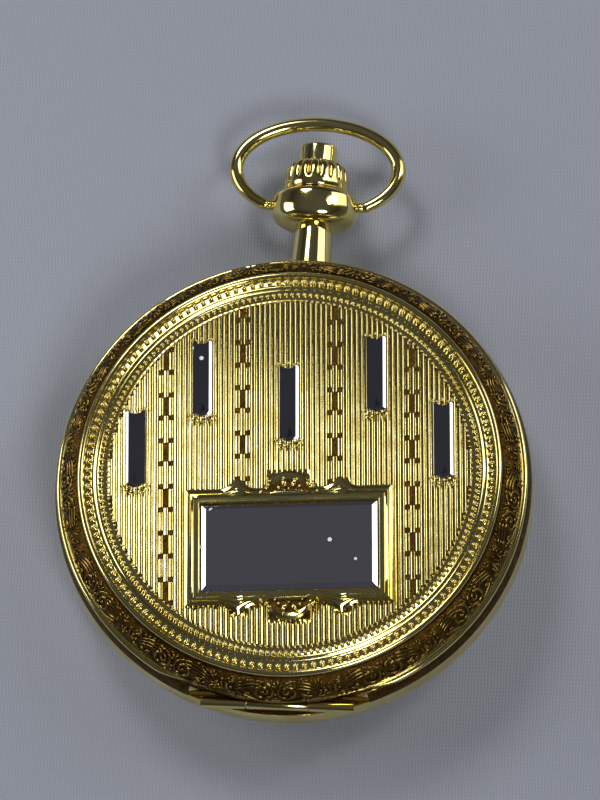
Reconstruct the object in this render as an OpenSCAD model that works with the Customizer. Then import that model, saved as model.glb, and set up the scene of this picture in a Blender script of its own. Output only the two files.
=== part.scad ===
// Hunter-case pocket watch with a hand-wound movement, lying on its back.
// Origin at the centre of the flat rest face of the back; +Z through the dial, +Y to the crown.

/* [Case] */
// Widest diameter of the case
case_d = 47; // [46:0.1:50]
// Height of the widest line of the case above the rest face
equator_z = 6; // [5.6:0.1:6.4]
// Height of the snap-on back
back_h = 3.3; // [3.1:0.1:3.5]
// Width of the rounded edge round the flat face that the watch rests on
back_round = 6.4; // [6:0.1:7]
// Sheet thickness of the back
back_wall = 0.8; // [0.6:0.05:0.9]
// How far the joint line of back and band lies inside the widest line
joint_in = 1.1; // [0.9:0.05:1.3]
// Height of the band that carries the movement
band_h = 5.1; // [4.9:0.1:5.3]
// Thickness of the band at its widest line
band_wall = 3.3; // [3.1:0.05:3.5]
// Thickness of the band round the bezel's seat
seat_wall = 2.5; // [2.4:0.05:2.6]
// Depth of the bezel seat below the top of the band
bezel_seat_d = 1; // [0.9:0.05:1.05]
// Width of the bezel
bezel_w = 2.7; // [2.4:0.05:2.9]
// Height of the bezel above its seat
bezel_h = 1.5; // [1.4:0.05:1.6]
// Thickness of the crystal
crystal_t = 0.8; // [0.6:0.1:0.9]
// Rise of the crystal's dome
crystal_rise = 0.7; // [0.3:0.1:0.9]

/* [Front cover] */
// How far the cover's polished lip lies inside the widest line of the case
lip_in = 0.45; // [0.3:0.05:0.55]
// Height of the lip
cover_lip_h = 0.75; // [0.6:0.05:0.85]
// Width of the lip from its inner wall to its edge
lip_w = 1.5; // [1.35:0.05:1.6]
// Step from the lip's edge in to the ornamented border
lip_step = 0.55; // [0.45:0.05:0.65]
// Width of the ornamented border
border_w = 1.75; // [1.6:0.05:1.9]
// Height of the cover from its lip to the bead channel
cover_h = 3.25; // [3.1:0.05:3.5]
// Half width of the smooth raised ring
ring_w = 0.33; // [0.25:0.01:0.35]
// Width of the bead channel from the ring's middle to the ribbed field
channel_w = 2.7; // [2.5:0.1:3]
// Step from the bead channel up to the field
field_step = 0.15; // [0.05:0.05:0.25]
// Rise of the field's dome
field_rise = 0.45; // [0.3:0.05:0.6]
// Sheet thickness of the cover
cover_wall = 0.7; // [0.6:0.05:0.75]
// Turn of the cover's ornament against the hinge
cover_turn = 3.8; // [0:0.1:5]
// Length of the engraving plate
plate_l = 17.5; // [15:0.1:18]
// Width of the engraving plate
plate_w = 9.1; // [8:0.1:9.4]
// Distance of the engraving plate from the cover's centre
plate_y = 7.6; // [7.4:0.1:8]
// Width of the raised frame round the engraving plate
frame_w = 1.2; // [0.9:0.05:1.3]
// Length of a ribbon inlay
ribbon_l = 8; // [6:0.1:8.4]
// Width of a ribbon inlay
ribbon_w = 1.9; // [1.5:0.1:2.1]
// Thickness of the inlaid plates
inlay_t = 0.35; // [0.3:0.05:0.4]
// How far the inlaid plates stand above the field
inlay_proud = 0.12; // [0.05:0.01:0.15]

/* [Cover hinge] */
// Radius of the hinge knuckles
knuckle_r = 0.55; // [0.5:0.01:0.58]
// Length of the middle knuckle, which belongs to the cover
knuckle_mid = 6.1; // [5:0.1:7]
// Length of each outer knuckle, which belongs to the band
knuckle_side = 4.4; // [4:0.1:4.6]
// Radius of the hinge pin
hinge_pin_r = 0.28; // [0.22:0.01:0.32]
// How far the hinge axis lies inside the widest line of the case
hinge_in = 1.1; // [1:0.01:1.2]
// Depth of the hinge axis below the band's top
hinge_drop = 0.4; // [0.35:0.01:0.45]
// Length of the flat recess that the hinge lies in
recess_l = 22; // [20:0.5:23]
// Depth of the hinge recess below the band's top
recess_d = 1.1; // [1.05:0.01:1.15]

/* [Pendant and bow] */
// Height of the pendant and winding axis above the rest face
stem_z = 4.6; // [4.5:0.05:4.7]
// Radius of the neck where it enters the band
neck_r = 2.2; // [2.1:0.05:2.4]
// Radius of the neck below the collar
neck_top_r = 1.8; // [1.75:0.01:2.1]
// Bore through the neck
neck_bore_r = 1.5; // [1.45:0.05:1.6]
// Radius of the collar
collar_r = 4.25; // [4:0.05:4.4]
// Height of the collar
collar_h = 2.2; // [2:0.1:2.6]
// Height of the dome under the collar
collar_dome_h = 1.3; // [1:0.1:1.6]
// Height of the collar's top above the widest line of the case
pendant_h = 7.9; // [7.5:0.1:8.3]
// Radius of the bow's wire
bow_wire_r = 0.7; // [0.6:0.01:0.75]
// Radius of the bow's wire at the pivots
bow_end_r = 0.52; // [0.48:0.01:0.6]
// Half width of the bow at the wire's centre
bow_half_w = 8.1; // [7.8:0.1:8.4]
// Height of the bow's top above its pivots, at the wire's centre
bow_h = 8.7; // [8.4:0.1:9]
// Radius of the bow's pivot pins
bow_pin_r = 0.45; // [0.35:0.01:0.5]
// Length of the bow's pivot pins inside the collar
bow_pin_l = 0.8; // [0.5:0.1:1]

/* [Crown and button] */
// Radius of the fluted crown
crown_r = 3.2; // [3:0.05:3.4]
// Height of the crown
crown_h = 3.1; // [2.9:0.1:3.3]
// Height of the plain skirt below the flutes
crown_skirt = 0.9; // [0.6:0.1:1.2]
// Flutes round the crown
crown_flutes = 18; // [14:1:22]
// Radius of one flute
flute_r = 0.36; // [0.25:0.01:0.4]
// Radius of the button in the crown
button_r = 1.87; // [1.7:0.01:2]
// Height of the button above the crown
button_h = 1.95; // [1.7:0.05:2.1]
// Travel of the button
button_travel = 0.7; // [0.5:0.05:0.75]
// Radius of the hollow part of the winding stem
stem_r = 0.8; // [0.75:0.01:0.85]
// Radius of the push rod inside the stem
rod_r = 0.4; // [0.35:0.01:0.42]

/* [Movement] */
// Radius of the movement
movement_r = 17; // [16.9:0.05:17.4]
// Underside of the main plate
plate_z = 5.25; // [5.2:0.01:5.3]
// Thickness of the main plate
plate_t = 1; // [0.95:0.01:1.02]
// Thickness of the bridges
bridge_t = 1; // [0.95:0.01:1.05]
// Outer face of the bridges
bridge_z = 1.75; // [1.7:0.01:1.78]
// How far the dial reaches under the bezel
dial_lap = 0.4; // [0.3:0.05:0.5]
// Thickness of the dial
dial_t = 0.4; // [0.3:0.05:0.45]
// Underside of the dial
dial_z = 6.6; // [6.55:0.01:6.65]
// Radius of the seconds circle in the dial
seconds_r = 3.9; // [3.4:0.1:4.2]
// Length of the hour hand
hour_hand_l = 9.4; // [8:0.1:10]
// Length of the minute hand
minute_hand_l = 14.2; // [12:0.1:15]
// Length of the seconds hand
seconds_hand_l = 3.3; // [2.5:0.1:3.6]
// Radius of the train's pivots
pivot_r = 0.22; // [0.2:0.01:0.25]
// Radius of the bearing jewels
jewel_r = 0.75; // [0.65:0.01:0.8]

/* [Gear train] */
// Tooth module of the barrel and centre pinion
barrel_m = 0.18; // [0.175:0.001:0.182]
// Tooth module of the centre wheel and third pinion
centre_m = 0.14; // [0.138:0.001:0.142]
// Tooth module of the third wheel and fourth pinion
third_m = 0.13; // [0.128:0.001:0.132]
// Tooth module of the fourth wheel and escape pinion
fourth_m = 0.105; // [0.102:0.001:0.107]
// Tooth module of the winding wheels
winding_m = 0.2; // [0.195:0.001:0.205]
// Distance of the seconds axis from the watch axis
seconds_y = 9; // [8.8:0.05:9.1]
// Radius of the escape wheel
escape_r = 2.6; // [2.5:0.05:2.65]
// Radius of the balance
balance_r = 4.6; // [4.3:0.05:4.7]

/* [Hidden] */
$fn = 64;
// Overshoot of a cut past the face that it opens
eps = 0.01;
// Radial clearance of a running fit
run = 0.03;
// Clearance between faces that pass each other
gap = 0.1;
gold = [0.83, 0.66, 0.25];
brass = [0.86, 0.74, 0.45];
steel = [0.72, 0.73, 0.76];
blued = [0.12, 0.16, 0.42];
ruby = [0.7, 0.08, 0.18];

function polar(r, a) = [r * cos(a), r * sin(a)];
function arc(c, r, from, to, n = 10) = [for (i = [0 : n]) c + polar(r, from + (to - from) * i / n)];
function bend(p, c, q, n = 10) = [for (i = [0 : n]) let (t = i / n)
    (1 - t) * (1 - t) * p + 2 * t * (1 - t) * c + t * t * q];
function bearing(p, q) = atan2(q[1] - p[1], q[0] - p[0]);
function gear_reach(m, n1, n2) = m * (n1 + n2) / 2;

module at(p, z = 0) { translate([p[0], p[1], z]) children(); }
module disc(r, z0, z1) { translate([0, 0, z0]) cylinder(r = r, h = z1 - z0); }
module tube(r_out, r_in, z0, z1) {
    difference() {
        disc(r_out, z0, z1);
        disc(r_in, z0 - eps, z1 + eps);
    }
}
// Turns a shape built along +Z so that it runs along the winding axis
module on_stem() { translate([0, 0, stem_z]) rotate([-90, 0, 0]) children(); }
// Flat bar with two round ends
module bar2d(p, r1, q, r2) {
    a = bearing(p, q);
    side = [-sin(a), cos(a)];
    inset = 0.97;
    translate(p) circle(r = r1);
    translate(q) circle(r = r2);
    polygon([p + side * r1 * inset, q + side * r2 * inset, q - side * r2 * inset, p - side * r1 * inset]);
}
module bar(p, r1, q, r2, z0, z1) {
    translate([0, 0, z0]) linear_extrude(z1 - z0) bar2d(p, r1, q, r2);
}

// Case levels and curves
case_r = case_d / 2;
joint_r = case_r - joint_in;
rest_r = joint_r - back_round;
band_bore_r = case_r - band_wall;
bezel_seat_r = case_r - seat_wall;
bezel_in_r = bezel_seat_r - bezel_w;
cover_lip_r = case_r - lip_in;
cover_in_r = cover_lip_r - lip_w;
border_low_r = cover_lip_r - lip_step;
border_high_r = border_low_r - border_w;
ring_r = border_high_r - ring_w - 0.02;
field_r = ring_r - channel_w;
dial_r = bezel_in_r + dial_lap;
hinge_y = case_r - hinge_in;
band_top = back_h + band_h;
seat_z = band_top - bezel_seat_d;
cover_z = band_top + gap;
channel_z = cover_z + cover_h;
field_z = channel_z + field_step;
band_arc_r = (pow(case_r - joint_r, 2) + pow(equator_z - back_h, 2)) / (2 * (case_r - joint_r));
band_arc_c = [case_r - band_arc_r, equator_z];
back_arc_r = (pow(joint_r - rest_r, 2) + pow(back_h, 2)) / (2 * back_h);
back_arc_c = [rest_r, back_arc_r];
snap_r = band_bore_r + 0.8;
snap_in_r = band_bore_r + 0.2;
snap_h = 0.8;
crystal_r = bezel_in_r + 1;
crystal_z = seat_z + 0.7;
hinge_axis = [-hinge_y, band_top - hinge_drop];
knuckle_reach = knuckle_mid / 2 + knuckle_side;
recess_y = bezel_seat_r + 0.3;
function field_height(r) = field_z + field_rise * (1 - pow(r / field_r, 2));

// Levels of the springs that lie in the channel above the movement ring
ring_z0 = back_h + 0.1;
ring_z1 = plate_z + 0.75;
leaf_r = band_bore_r - 0.65;
leaf_t = 0.4;
leaf_h = 1;
latch_root_a = 35;
latch_root = polar(leaf_r + leaf_t / 2, latch_root_a);
latch_w = 1.5;
latch_tab_w = 0.9;
latch_hook_r = cover_in_r - gap;
latch_y = crystal_r + 0.3 + button_travel + gap;
latch_t = 0.45;
// The nose swings sideways as it draws in, so its slot is wider on that side
latch_side = button_travel * (latch_y + latch_t - latch_root[1]) / latch_root[0];
latch_slot = [-latch_w / 2 - latch_side - gap, latch_w + latch_side + 2 * gap];

module along_hinge(x0, x1) {
    translate([x0, hinge_axis[0], hinge_axis[1]]) rotate([0, 90, 0]) linear_extrude(x1 - x0) children();
}
// The band's pair of outer knuckles, or the space that they need
module side_knuckles(r, play = 0) {
    for (s = [0, 1]) mirror([s, 0, 0])
        along_hinge(knuckle_mid / 2 + gap / 2 - play, knuckle_reach + play) circle(r = r);
}

module case_back() {
    color(gold) difference() {
        rotate_extrude() polygon(concat(
            [[0, 0]],
            arc(back_arc_c, back_arc_r, -90, -acos((joint_r - rest_r) / back_arc_r)),
            [[snap_r, back_h], [snap_r, back_h + snap_h], [snap_in_r, back_h + snap_h]],
            arc(back_arc_c, back_arc_r - back_wall, -acos((snap_in_r - rest_r) / (back_arc_r - back_wall)), -90),
            [[0, back_wall]]));
        // Scallop that clears the pendant's neck
        on_stem() disc(neck_r + run, band_bore_r / 2, case_d);
    }
}

module case_band() {
    web_w = knuckle_r * 1.5;
    web_z = band_top - recess_d - 0.1;
    color(gold) difference() {
        union() {
            difference() {
                rotate_extrude() intersection() {
                    translate(band_arc_c) circle(r = band_arc_r);
                    polygon([[snap_r, back_h], [case_d, back_h], [case_d, band_top], [bezel_seat_r, band_top],
                             [bezel_seat_r, seat_z], [band_bore_r, seat_z], [band_bore_r, back_h + snap_h],
                             [snap_r, back_h + snap_h]]);
                }
                // Flat recess that the hinge lies in
                translate([-recess_l / 2, -case_d, band_top - recess_d])
                    cube([recess_l, case_d - recess_y, case_d]);
            }
            side_knuckles(knuckle_r);
            intersection() {
                for (s = [0, 1]) mirror([s, 0, 0])
                    translate([knuckle_mid / 2 + gap / 2, hinge_axis[0] - web_w / 2, web_z])
                        cube([knuckle_side - gap / 2, web_w, hinge_axis[1] - web_z]);
                disc(case_r - 0.2, 0, case_d);
            }
        }
        // Room for the cover's knuckle to turn in
        along_hinge(-knuckle_mid / 2 - gap / 2, knuckle_mid / 2 + gap / 2) circle(r = knuckle_r + gap);
        along_hinge(-knuckle_reach - eps, knuckle_reach + eps) circle(r = hinge_pin_r);
        on_stem() disc(neck_r, band_bore_r / 2, case_d);
        // Notch for the nose of the lock spring
        translate([latch_slot[0], band_bore_r / 2, ring_z1])
            cube([latch_slot[1], latch_y + latch_t + gap - band_bore_r / 2, seat_z + eps - ring_z1]);
    }
}

module hinge_pin() { color(gold) along_hinge(-knuckle_reach, knuckle_reach) circle(r = hinge_pin_r); }

module bezel() {
    color(gold) difference() {
        rotate_extrude() polygon([
            [bezel_in_r, seat_z], [bezel_seat_r, seat_z], [bezel_seat_r, seat_z + bezel_h - 0.6],
            [bezel_seat_r - 0.7, seat_z + bezel_h], [crystal_r, seat_z + bezel_h],
            [crystal_r, crystal_z], [bezel_in_r, crystal_z]]);
        // Slot for the nose of the lock spring
        translate([latch_slot[0], latch_y - button_travel - gap, 0]) cube([latch_slot[1], case_d, case_d]);
    }
}

module crystal() {
    color([0.9, 0.95, 1, 0.3]) rotate_extrude() polygon(concat(
        [[crystal_r, crystal_z], [crystal_r, crystal_z + crystal_t]],
        bend([crystal_r - 0.1, crystal_z + crystal_t], [bezel_in_r / 2, crystal_z + crystal_t + crystal_rise],
             [0, crystal_z + crystal_t + crystal_rise]),
        bend([0, crystal_z + crystal_rise], [bezel_in_r / 2, crystal_z + crystal_rise], [bezel_in_r, crystal_z])));
}

// One leaf of a case spring, lying against the band
module leaf(from, to, z) {
    translate([0, 0, z]) rotate([0, 0, from]) rotate_extrude(angle = to - from)
        translate([leaf_r, 0]) square([leaf_t, leaf_h]);
}

module lift_spring() { color(steel) leaf(215, 325, ring_z1); }

module lock_spring() {
    spring_z = ring_z1 + gap / 2;
    nose_z1 = cover_z + 0.5;
    color(steel) {
        leaf(latch_root_a, 90 + 3, spring_z);
        at(latch_root) disc(leaf_t, spring_z, spring_z + leaf_h);
        // Nose that reaches up under the cover's lip
        translate([-latch_w / 2, leaf_r + eps, spring_z]) cube([latch_w, latch_y + latch_t - leaf_r - eps, leaf_h - gap]);
        translate([-latch_w / 2, latch_y, spring_z]) cube([latch_w, latch_t, nose_z1 - spring_z]);
        translate([-latch_w / 2, latch_y, cover_z + gap])
            cube([latch_w, latch_hook_r - latch_y, nose_z1 - cover_z - gap]);
        // Tab that the push rod's flange meets
        translate([-latch_tab_w / 2, leaf_r, stem_z + stem_r + gap])
            cube([latch_tab_w, leaf_t, spring_z + leaf_h - stem_z - stem_r - gap]);
        translate([-latch_tab_w / 2, leaf_r, stem_z + stem_r + gap])
            cube([latch_tab_w, flange_y - gap / 2 - leaf_r, 0.45]);
    }
}

// Inlays of the cover, in the cover's turned frame
ribbon_shares = [[-0.847, 0.161], [-0.48, 0.556], [0, 0.395], [0.48, 0.556], [0.847, 0.161]];
ribbon_places = [for (p = ribbon_shares) p * field_r];
ribbon_notch = 0.5;
plate_top = field_height(plate_y) + inlay_proud;
frame_rise = 0.15;

module ribbon_outline() {
    half = [ribbon_w, ribbon_l] / 2;
    polygon([[-half[0], half[1]], [0, half[1] - ribbon_notch], half, [half[0], ribbon_notch - half[1]],
             [0, -half[1]], [-half[0], ribbon_notch - half[1]]]);
}
module ribbon(p, z_over) {
    top = field_height(norm(p)) + inlay_proud;
    at(p, top - inlay_t) linear_extrude(inlay_t + z_over) ribbon_outline();
}
// A box centred on the engraving plate
module plate_box(grow, z0, z1) {
    translate([-plate_l / 2 - grow, -plate_y - plate_w / 2 - grow, z0])
        cube([plate_l + 2 * grow, plate_w + 2 * grow, z1 - z0]);
}

module cover_shell() {
    lip = [cover_lip_r - cover_lip_h / 2, cover_z + cover_lip_h / 2];
    lip_top = cover_z + cover_lip_h;
    inner_z = channel_z - cover_wall;
    centre_z = field_height(0);
    rotate_extrude() polygon(concat(
        [[cover_in_r, cover_z]],
        arc(lip, cover_lip_h / 2, -90, 90),
        bend([border_low_r, lip_top], [border_low_r - 0.25, channel_z - 0.85], [border_high_r, channel_z - 0.1]),
        arc([ring_r, channel_z], ring_w, 0, 180),
        [[field_r + 0.05, channel_z], [field_r, field_z]],
        [for (i = [1 : 8]) let (r = field_r * (1 - i / 8)) [r, field_height(r)]],
        [[0, centre_z - cover_wall]],
        bend([field_r - 0.3, inner_z], [field_r + 0.6, inner_z], [border_high_r - 0.55, inner_z], 2),
        bend([border_high_r - 0.5, inner_z], [cover_in_r - 0.1, channel_z - 1.4], [cover_in_r, lip_top])));
}

module front_cover() {
    color(gold) difference() {
        union() {
            difference() {
                union() {
                    cover_shell();
                    rotate([0, 0, cover_turn]) plate_box(frame_w, field_z - 0.1, plate_top + frame_rise);
                }
                side_knuckles(knuckle_r + gap, gap);
                // The lip is cut away where the hinge lies
                difference() {
                    translate([-recess_l / 2, -case_d, 0]) cube([recess_l, case_d - recess_y, cover_z + cover_lip_h]);
                    disc(border_low_r, 0, case_d);
                }
                rotate([0, 0, cover_turn]) {
                    plate_box(0, plate_top - inlay_t, case_d);
                    for (p = ribbon_places) ribbon(p, case_d);
                }
            }
            along_hinge(-knuckle_mid / 2 + gap / 2, knuckle_mid / 2 - gap / 2) circle(r = knuckle_r);
            translate([-knuckle_mid / 2 + gap / 2, -hinge_y, hinge_axis[1]])
                cube([knuckle_mid - gap, knuckle_r, cover_z + cover_lip_h / 2 - hinge_axis[1]]);
        }
        along_hinge(-knuckle_mid, knuckle_mid) circle(r = hinge_pin_r + run);
    }
}

module engraving_plate() { color(steel) rotate([0, 0, cover_turn]) plate_box(0, plate_top - inlay_t, plate_top); }

module ribbon_inlays() { color(steel) rotate([0, 0, cover_turn]) for (p = ribbon_places) ribbon(p, 0); }

// Pendant, bow, crown and button, measured along the winding axis
neck_y0 = bezel_seat_r;
collar_top_y = case_r + pendant_h;
collar_y0 = collar_top_y - collar_h - collar_dome_h;
pivot_y = collar_top_y - collar_h / 2;
crown_y0 = collar_top_y + gap;
crown_y1 = crown_y0 + crown_h;
button_skirt = 0.5;
pocket_y = crown_y1 - button_skirt - button_travel - gap;
flange_y = band_bore_r + 1.3;
flange_r = neck_bore_r - 0.2;
flange_h = 0.8;
cross_pin_r = 0.18;
cross_pin_y = flange_y + flange_h / 2;

module pendant() {
    edge = 0.8;
    color(gold) difference() {
        on_stem() rotate_extrude() polygon(concat(
            [[neck_bore_r, neck_y0], [neck_r, neck_y0], [neck_r, case_r], [neck_top_r, collar_y0]],
            bend([neck_top_r, collar_y0], [collar_r - 0.4, collar_y0 + 0.1], [collar_r, collar_y0 + collar_dome_h]),
            arc([collar_r - edge, collar_top_y - edge], edge, 0, 90, 6),
            [[stem_r + run, collar_top_y], [stem_r + run, pivot_y], [neck_bore_r, pivot_y - 0.5]]));
        for (s = [-1, 1]) translate([s * (collar_r - bow_pin_l - gap), pivot_y, stem_z])
            rotate([0, 90 * s, 0]) cylinder(r = bow_pin_r + run, h = collar_r);
    }
}

// Round wire swept along a flat line of points, with its radius at each point
module wire(pts, radii, sides = 16) {
    n = len(pts);
    tangent = [for (i = [0 : n - 1]) let (d = pts[min(i + 1, n - 1)] - pts[max(i - 1, 0)]) d / norm(d)];
    verts = [for (i = [0 : n - 1], k = [0 : sides - 1]) let (a = 360 * k / sides, out = radii[i] * cos(a))
        [pts[i][0] + tangent[i][1] * out, pts[i][1] - tangent[i][0] * out, radii[i] * sin(a)]];
    skin = [for (i = [0 : n - 2], k = [0 : sides - 1], half = [0, 1])
        let (j = (k + 1) % sides, p = i * sides, q = p + sides)
        half == 0 ? [p + k, q + j, q + k] : [p + k, p + j, q + j]];
    caps = [for (k = [1 : sides - 2], end = [0, 1]) let (p = (n - 1) * sides)
        end == 0 ? [0, k + 1, k] : [p, p + k, p + k + 1]];
    polyhedron(verts, concat(skin, caps));
}

// The bow's line is an oval whose widest height is this share of its own
bow_mid = 0.443;
module bow() {
    mid = [0, pivot_y + bow_mid * bow_h];
    reach = [bow_half_w, (1 - bow_mid) * bow_h];
    butt_x = collar_r + gap;
    start_a = -acos((butt_x + 1) / bow_half_w);
    steps = 22;
    half = concat([[butt_x, pivot_y], [butt_x + 0.35, pivot_y]],
                  [for (i = [0 : steps - 1]) let (a = start_a + (90 - start_a) * i / steps)
                      mid + [reach[0] * cos(a), reach[1] * sin(a)]]);
    last = len(half) - 1;
    line = concat(half, [mid + [0, reach[1]]], [for (i = [0 : last]) let (p = half[last - i]) [-p[0], p[1]]]);
    // The wire thins towards its pivots
    radii = [for (p = line) bow_wire_r - (bow_wire_r - bow_end_r) * pow(1 - (p[1] - pivot_y) / bow_h, 4)];
    color(gold) translate([0, 0, stem_z]) {
        wire(line, radii);
        for (s = [-1, 1]) translate([s * (collar_r - bow_pin_l), pivot_y, 0]) rotate([0, 90 * s, 0])
            cylinder(r = bow_pin_r, h = bow_pin_l + 2 * gap);
    }
}

// The crown is a low dome, and its flutes lean in with the dome
module crown() {
    top_r = button_r + 0.2;
    lean = atan2(crown_r - top_r, crown_h - crown_skirt);
    color(gold) on_stem() difference() {
        rotate_extrude() polygon(concat(
            [[stem_r, crown_y0], [crown_r - 0.3, crown_y0], [crown_r, crown_y0 + 0.3]],
            bend([crown_r, crown_y0 + crown_skirt], [crown_r - 0.1, crown_y1 - 0.3], [top_r, crown_y1]),
            [[button_r + 2 * run, crown_y1], [button_r + 2 * run, pocket_y], [stem_r, pocket_y]]));
        for (i = [1 : crown_flutes]) rotate([0, 0, i * 360 / crown_flutes])
            translate([crown_r + flute_r / 3, 0, crown_y0 + crown_skirt]) rotate([0, -lean / 2, 0])
                cylinder(r = flute_r, h = crown_h);
    }
}

module crown_button() {
    chamfer = 0.35;
    top_y = crown_y1 + button_h;
    color(gold) on_stem() {
        rotate_extrude() polygon([[0, cross_pin_y], [rod_r, cross_pin_y], [rod_r, crown_y1 - button_skirt],
            [button_r, crown_y1 - button_skirt], [button_r, top_y - chamfer], [button_r - chamfer, top_y], [0, top_y]]);
        tube(flange_r, stem_r + run, flange_y, flange_y + flange_h);
        translate([-flange_r + gap, 0, cross_pin_y]) rotate([0, 90, 0]) cylinder(r = cross_pin_r, h = 2 * (flange_r - gap));
    }
}

// Tooth counts; the going train turns the fourth wheel sixty times for one turn of the centre wheel
barrel_n = 78;
centre_pinion_n = 12;
centre_n = 80;
third_n = 75;
fourth_n = 80;
train_pinion_n = 10;
escape_pinion_n = 8;
escape_n = 15;
cannon_n = 12;
minute_n = 36;
minute_pinion_n = 10;
hour_n = 40;
ratchet_n = 60;
crown_wheel_n = 31;
winding_pinion_n = 18;
motion_reach = 3.6;

// Places of the arbors, each set by the mesh with the one before it
centre_p = [0, 0];
fourth_p = [0, -seconds_y];
third_d1 = gear_reach(centre_m, centre_n, train_pinion_n);
third_d2 = gear_reach(third_m, third_n, train_pinion_n);
third_y = -(third_d1 * third_d1 + seconds_y * seconds_y - third_d2 * third_d2) / (2 * seconds_y);
third_p = [sqrt(third_d1 * third_d1 - third_y * third_y), third_y];
escape_p = fourth_p + polar(gear_reach(fourth_m, fourth_n, escape_pinion_n), 175);
fork_a = 150;
pallet_p = escape_p + polar(escape_r + 0.5, fork_a);
balance_p = pallet_p + polar(3.6, fork_a);
barrel_p = polar(gear_reach(barrel_m, barrel_n, centre_pinion_n), 145);
winding_d = gear_reach(winding_m, ratchet_n, crown_wheel_n);
crown_wheel_p = [0, barrel_p[1] + sqrt(winding_d * winding_d - barrel_p[0] * barrel_p[0])];
minute_p = polar(motion_reach, 45);
click_p = barrel_p + [-4.86, 5.85];

// Levels of the movement
train_z = bridge_z + bridge_t;
wheel_t = 0.2;
centre_z = train_z + 0.15;
fourth_z = train_z + 0.6;
third_z = train_z + 1.25;
escape_z = train_z + 1.4;
fork_z = train_z + 1.1;
drum_z0 = train_z + 0.7;
drum_z1 = plate_z - 0.15;
drum_floor_z = plate_z - 0.65;
drum_r = barrel_m * barrel_n / 2 - 0.5;
drum_wall = 0.4;
wind_z0 = bridge_z - 0.55;
wind_z1 = bridge_z - 0.05;
cock_z = bridge_z - 0.55;
cock_t = 0.7;
balance_z = bridge_z + 0.65;
balance_t = 0.45;
motion_z = plate_z + plate_t - 0.3;
motion_floor_z = motion_z - 0.1;
hour_z = motion_z + 0.32;
winding_tip_r = winding_m * (winding_pinion_n / 2 + 0.7);
crown_wheel_z1 = stem_z - winding_tip_r + 0.24;
winding_pinion_y = crown_wheel_p[1] + winding_m * crown_wheel_n / 2 - 0.15;
crown_post_r = 0.9;
winding_pinion_h = 0.9;
clutch_h = 1.15;
clutch_r = 1.3;
clutch_y = winding_pinion_y - clutch_h - gap;
stem_in_r = 0.6;
stem_square = 0.8;
block_y = winding_pinion_y + winding_pinion_h + gap;

// Feet of the bridges, each with one screw
rim_foot_r = movement_r * 0.895;
barrel_feet = [polar(rim_foot_r, 110), polar(rim_foot_r, 178), polar(movement_r * 0.437, 66.2)];
train_feet = [polar(movement_r * 0.79, -45), polar(movement_r * 0.454, 16.6), polar(movement_r * 0.859, 260.5)];
cock_foot = polar(movement_r * 0.878, 234.8);
pallet_foot = polar(movement_r * 0.408, 221.5);
foot_r = 1.1;
screw_r = 0.45;
screw_head_r = 0.8;
screw_sink = 0.3;
screw_proud = 0.1;
screw_end_z = train_z + 0.9;
arbor_r = 0.35;
centre_arbor_r = 0.5;
jewel_t = 0.4;
arbor_r_barrel = 0.8;
arbor_square = 1.1;

// A gear outline: tip and root reach in modules, tip and root widths as shares of the pitch
wheel_tooth = [0.9, 1.2, 0.16, 0.42];
leaf_tooth = [0.5, 1.3, 0.16, 0.34];
winding_tooth = [0.7, 1, 0.2, 0.5];
module gear2d(n, m, tooth, phase) {
    r = n * m / 2;
    pitch = 360 / n;
    corners = [[r - tooth[1] * m, -tooth[3] / 2], [r + tooth[0] * m, -tooth[2] / 2],
               [r + tooth[0] * m, tooth[2] / 2], [r - tooth[1] * m, tooth[3] / 2]];
    polygon([for (i = [0 : n - 1], c = corners) polar(c[0], phase + (i + c[1]) * pitch)]);
}
// Phase that puts the second gear in mesh with a first one whose tooth stands at phase1
function mesh_phase(b, phase1, n1, n2) = b + 180 + 180 / n2 - (phase1 - b) * n1 / n2;

// A train wheel with a rim, a hub and crossings
module wheel(n, m, phase, hub_r, spokes = 5) {
    rim_in = n * m / 2 - 1.2 * m - 0.45;
    spoke_w = 0.45;
    linear_extrude(wheel_t) difference() {
        gear2d(n, m, wheel_tooth, phase);
        difference() {
            circle(r = rim_in);
            circle(r = hub_r);
            for (i = [1 : spokes]) rotate(i * 360 / spokes) translate([0, -spoke_w / 2]) square([rim_in + spoke_w, spoke_w]);
        }
    }
}
module pinion(n, m, phase, z0, z1) { translate([0, 0, z0]) linear_extrude(z1 - z0) gear2d(n, m, leaf_tooth, phase); }
module arbor(z0, z1) {
    disc(pivot_r, train_z - jewel_t + 0.05, plate_z + jewel_t - 0.05);
    disc(arbor_r, z0, z1);
}

module winding_stem() {
    inner_y = clutch_y;
    color(steel) difference() {
        on_stem() {
            translate([-stem_square / 2, -stem_square / 2, inner_y]) cube([stem_square, stem_square, block_y - inner_y]);
            disc(stem_in_r, block_y - eps, flange_y - 1);
            disc(stem_r, flange_y - 1 - eps, pocket_y);
        }
        on_stem() {
            disc(rod_r + run, flange_y - 0.9, case_d);
            translate([-case_d / 2, -cross_pin_r - run, cross_pin_y - cross_pin_r - button_travel - run])
                cube([case_d, 2 * (cross_pin_r + run), button_travel + 2 * (cross_pin_r + run)]);
        }
    }
}

module winding_pinion() {
    color(steel) on_stem() translate([0, 0, winding_pinion_y]) linear_extrude(winding_pinion_h) difference() {
        gear2d(winding_pinion_n, winding_m, winding_tooth, 90);
        circle(r = stem_in_r + run);
    }
}

module clutch_wheel() {
    hole = stem_square + 2 * run;
    groove_h = 0.35;
    color(steel) on_stem() difference() {
        disc(clutch_r, clutch_y, clutch_y + clutch_h);
        tube(clutch_r + gap, clutch_r - 0.35, clutch_y + 0.35, clutch_y + 0.35 + groove_h);
        translate([-hole / 2, -hole / 2, 0]) cube([hole, hole, case_d]);
    }
}

module movement_ring() {
    notch_w = 2 * clutch_r + 1.6;
    color(steel) difference() {
        tube(band_bore_r, movement_r, ring_z0, ring_z1);
        translate([-notch_w / 2, movement_r / 2, 0]) cube([notch_w, case_d, case_d]);
    }
}

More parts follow.
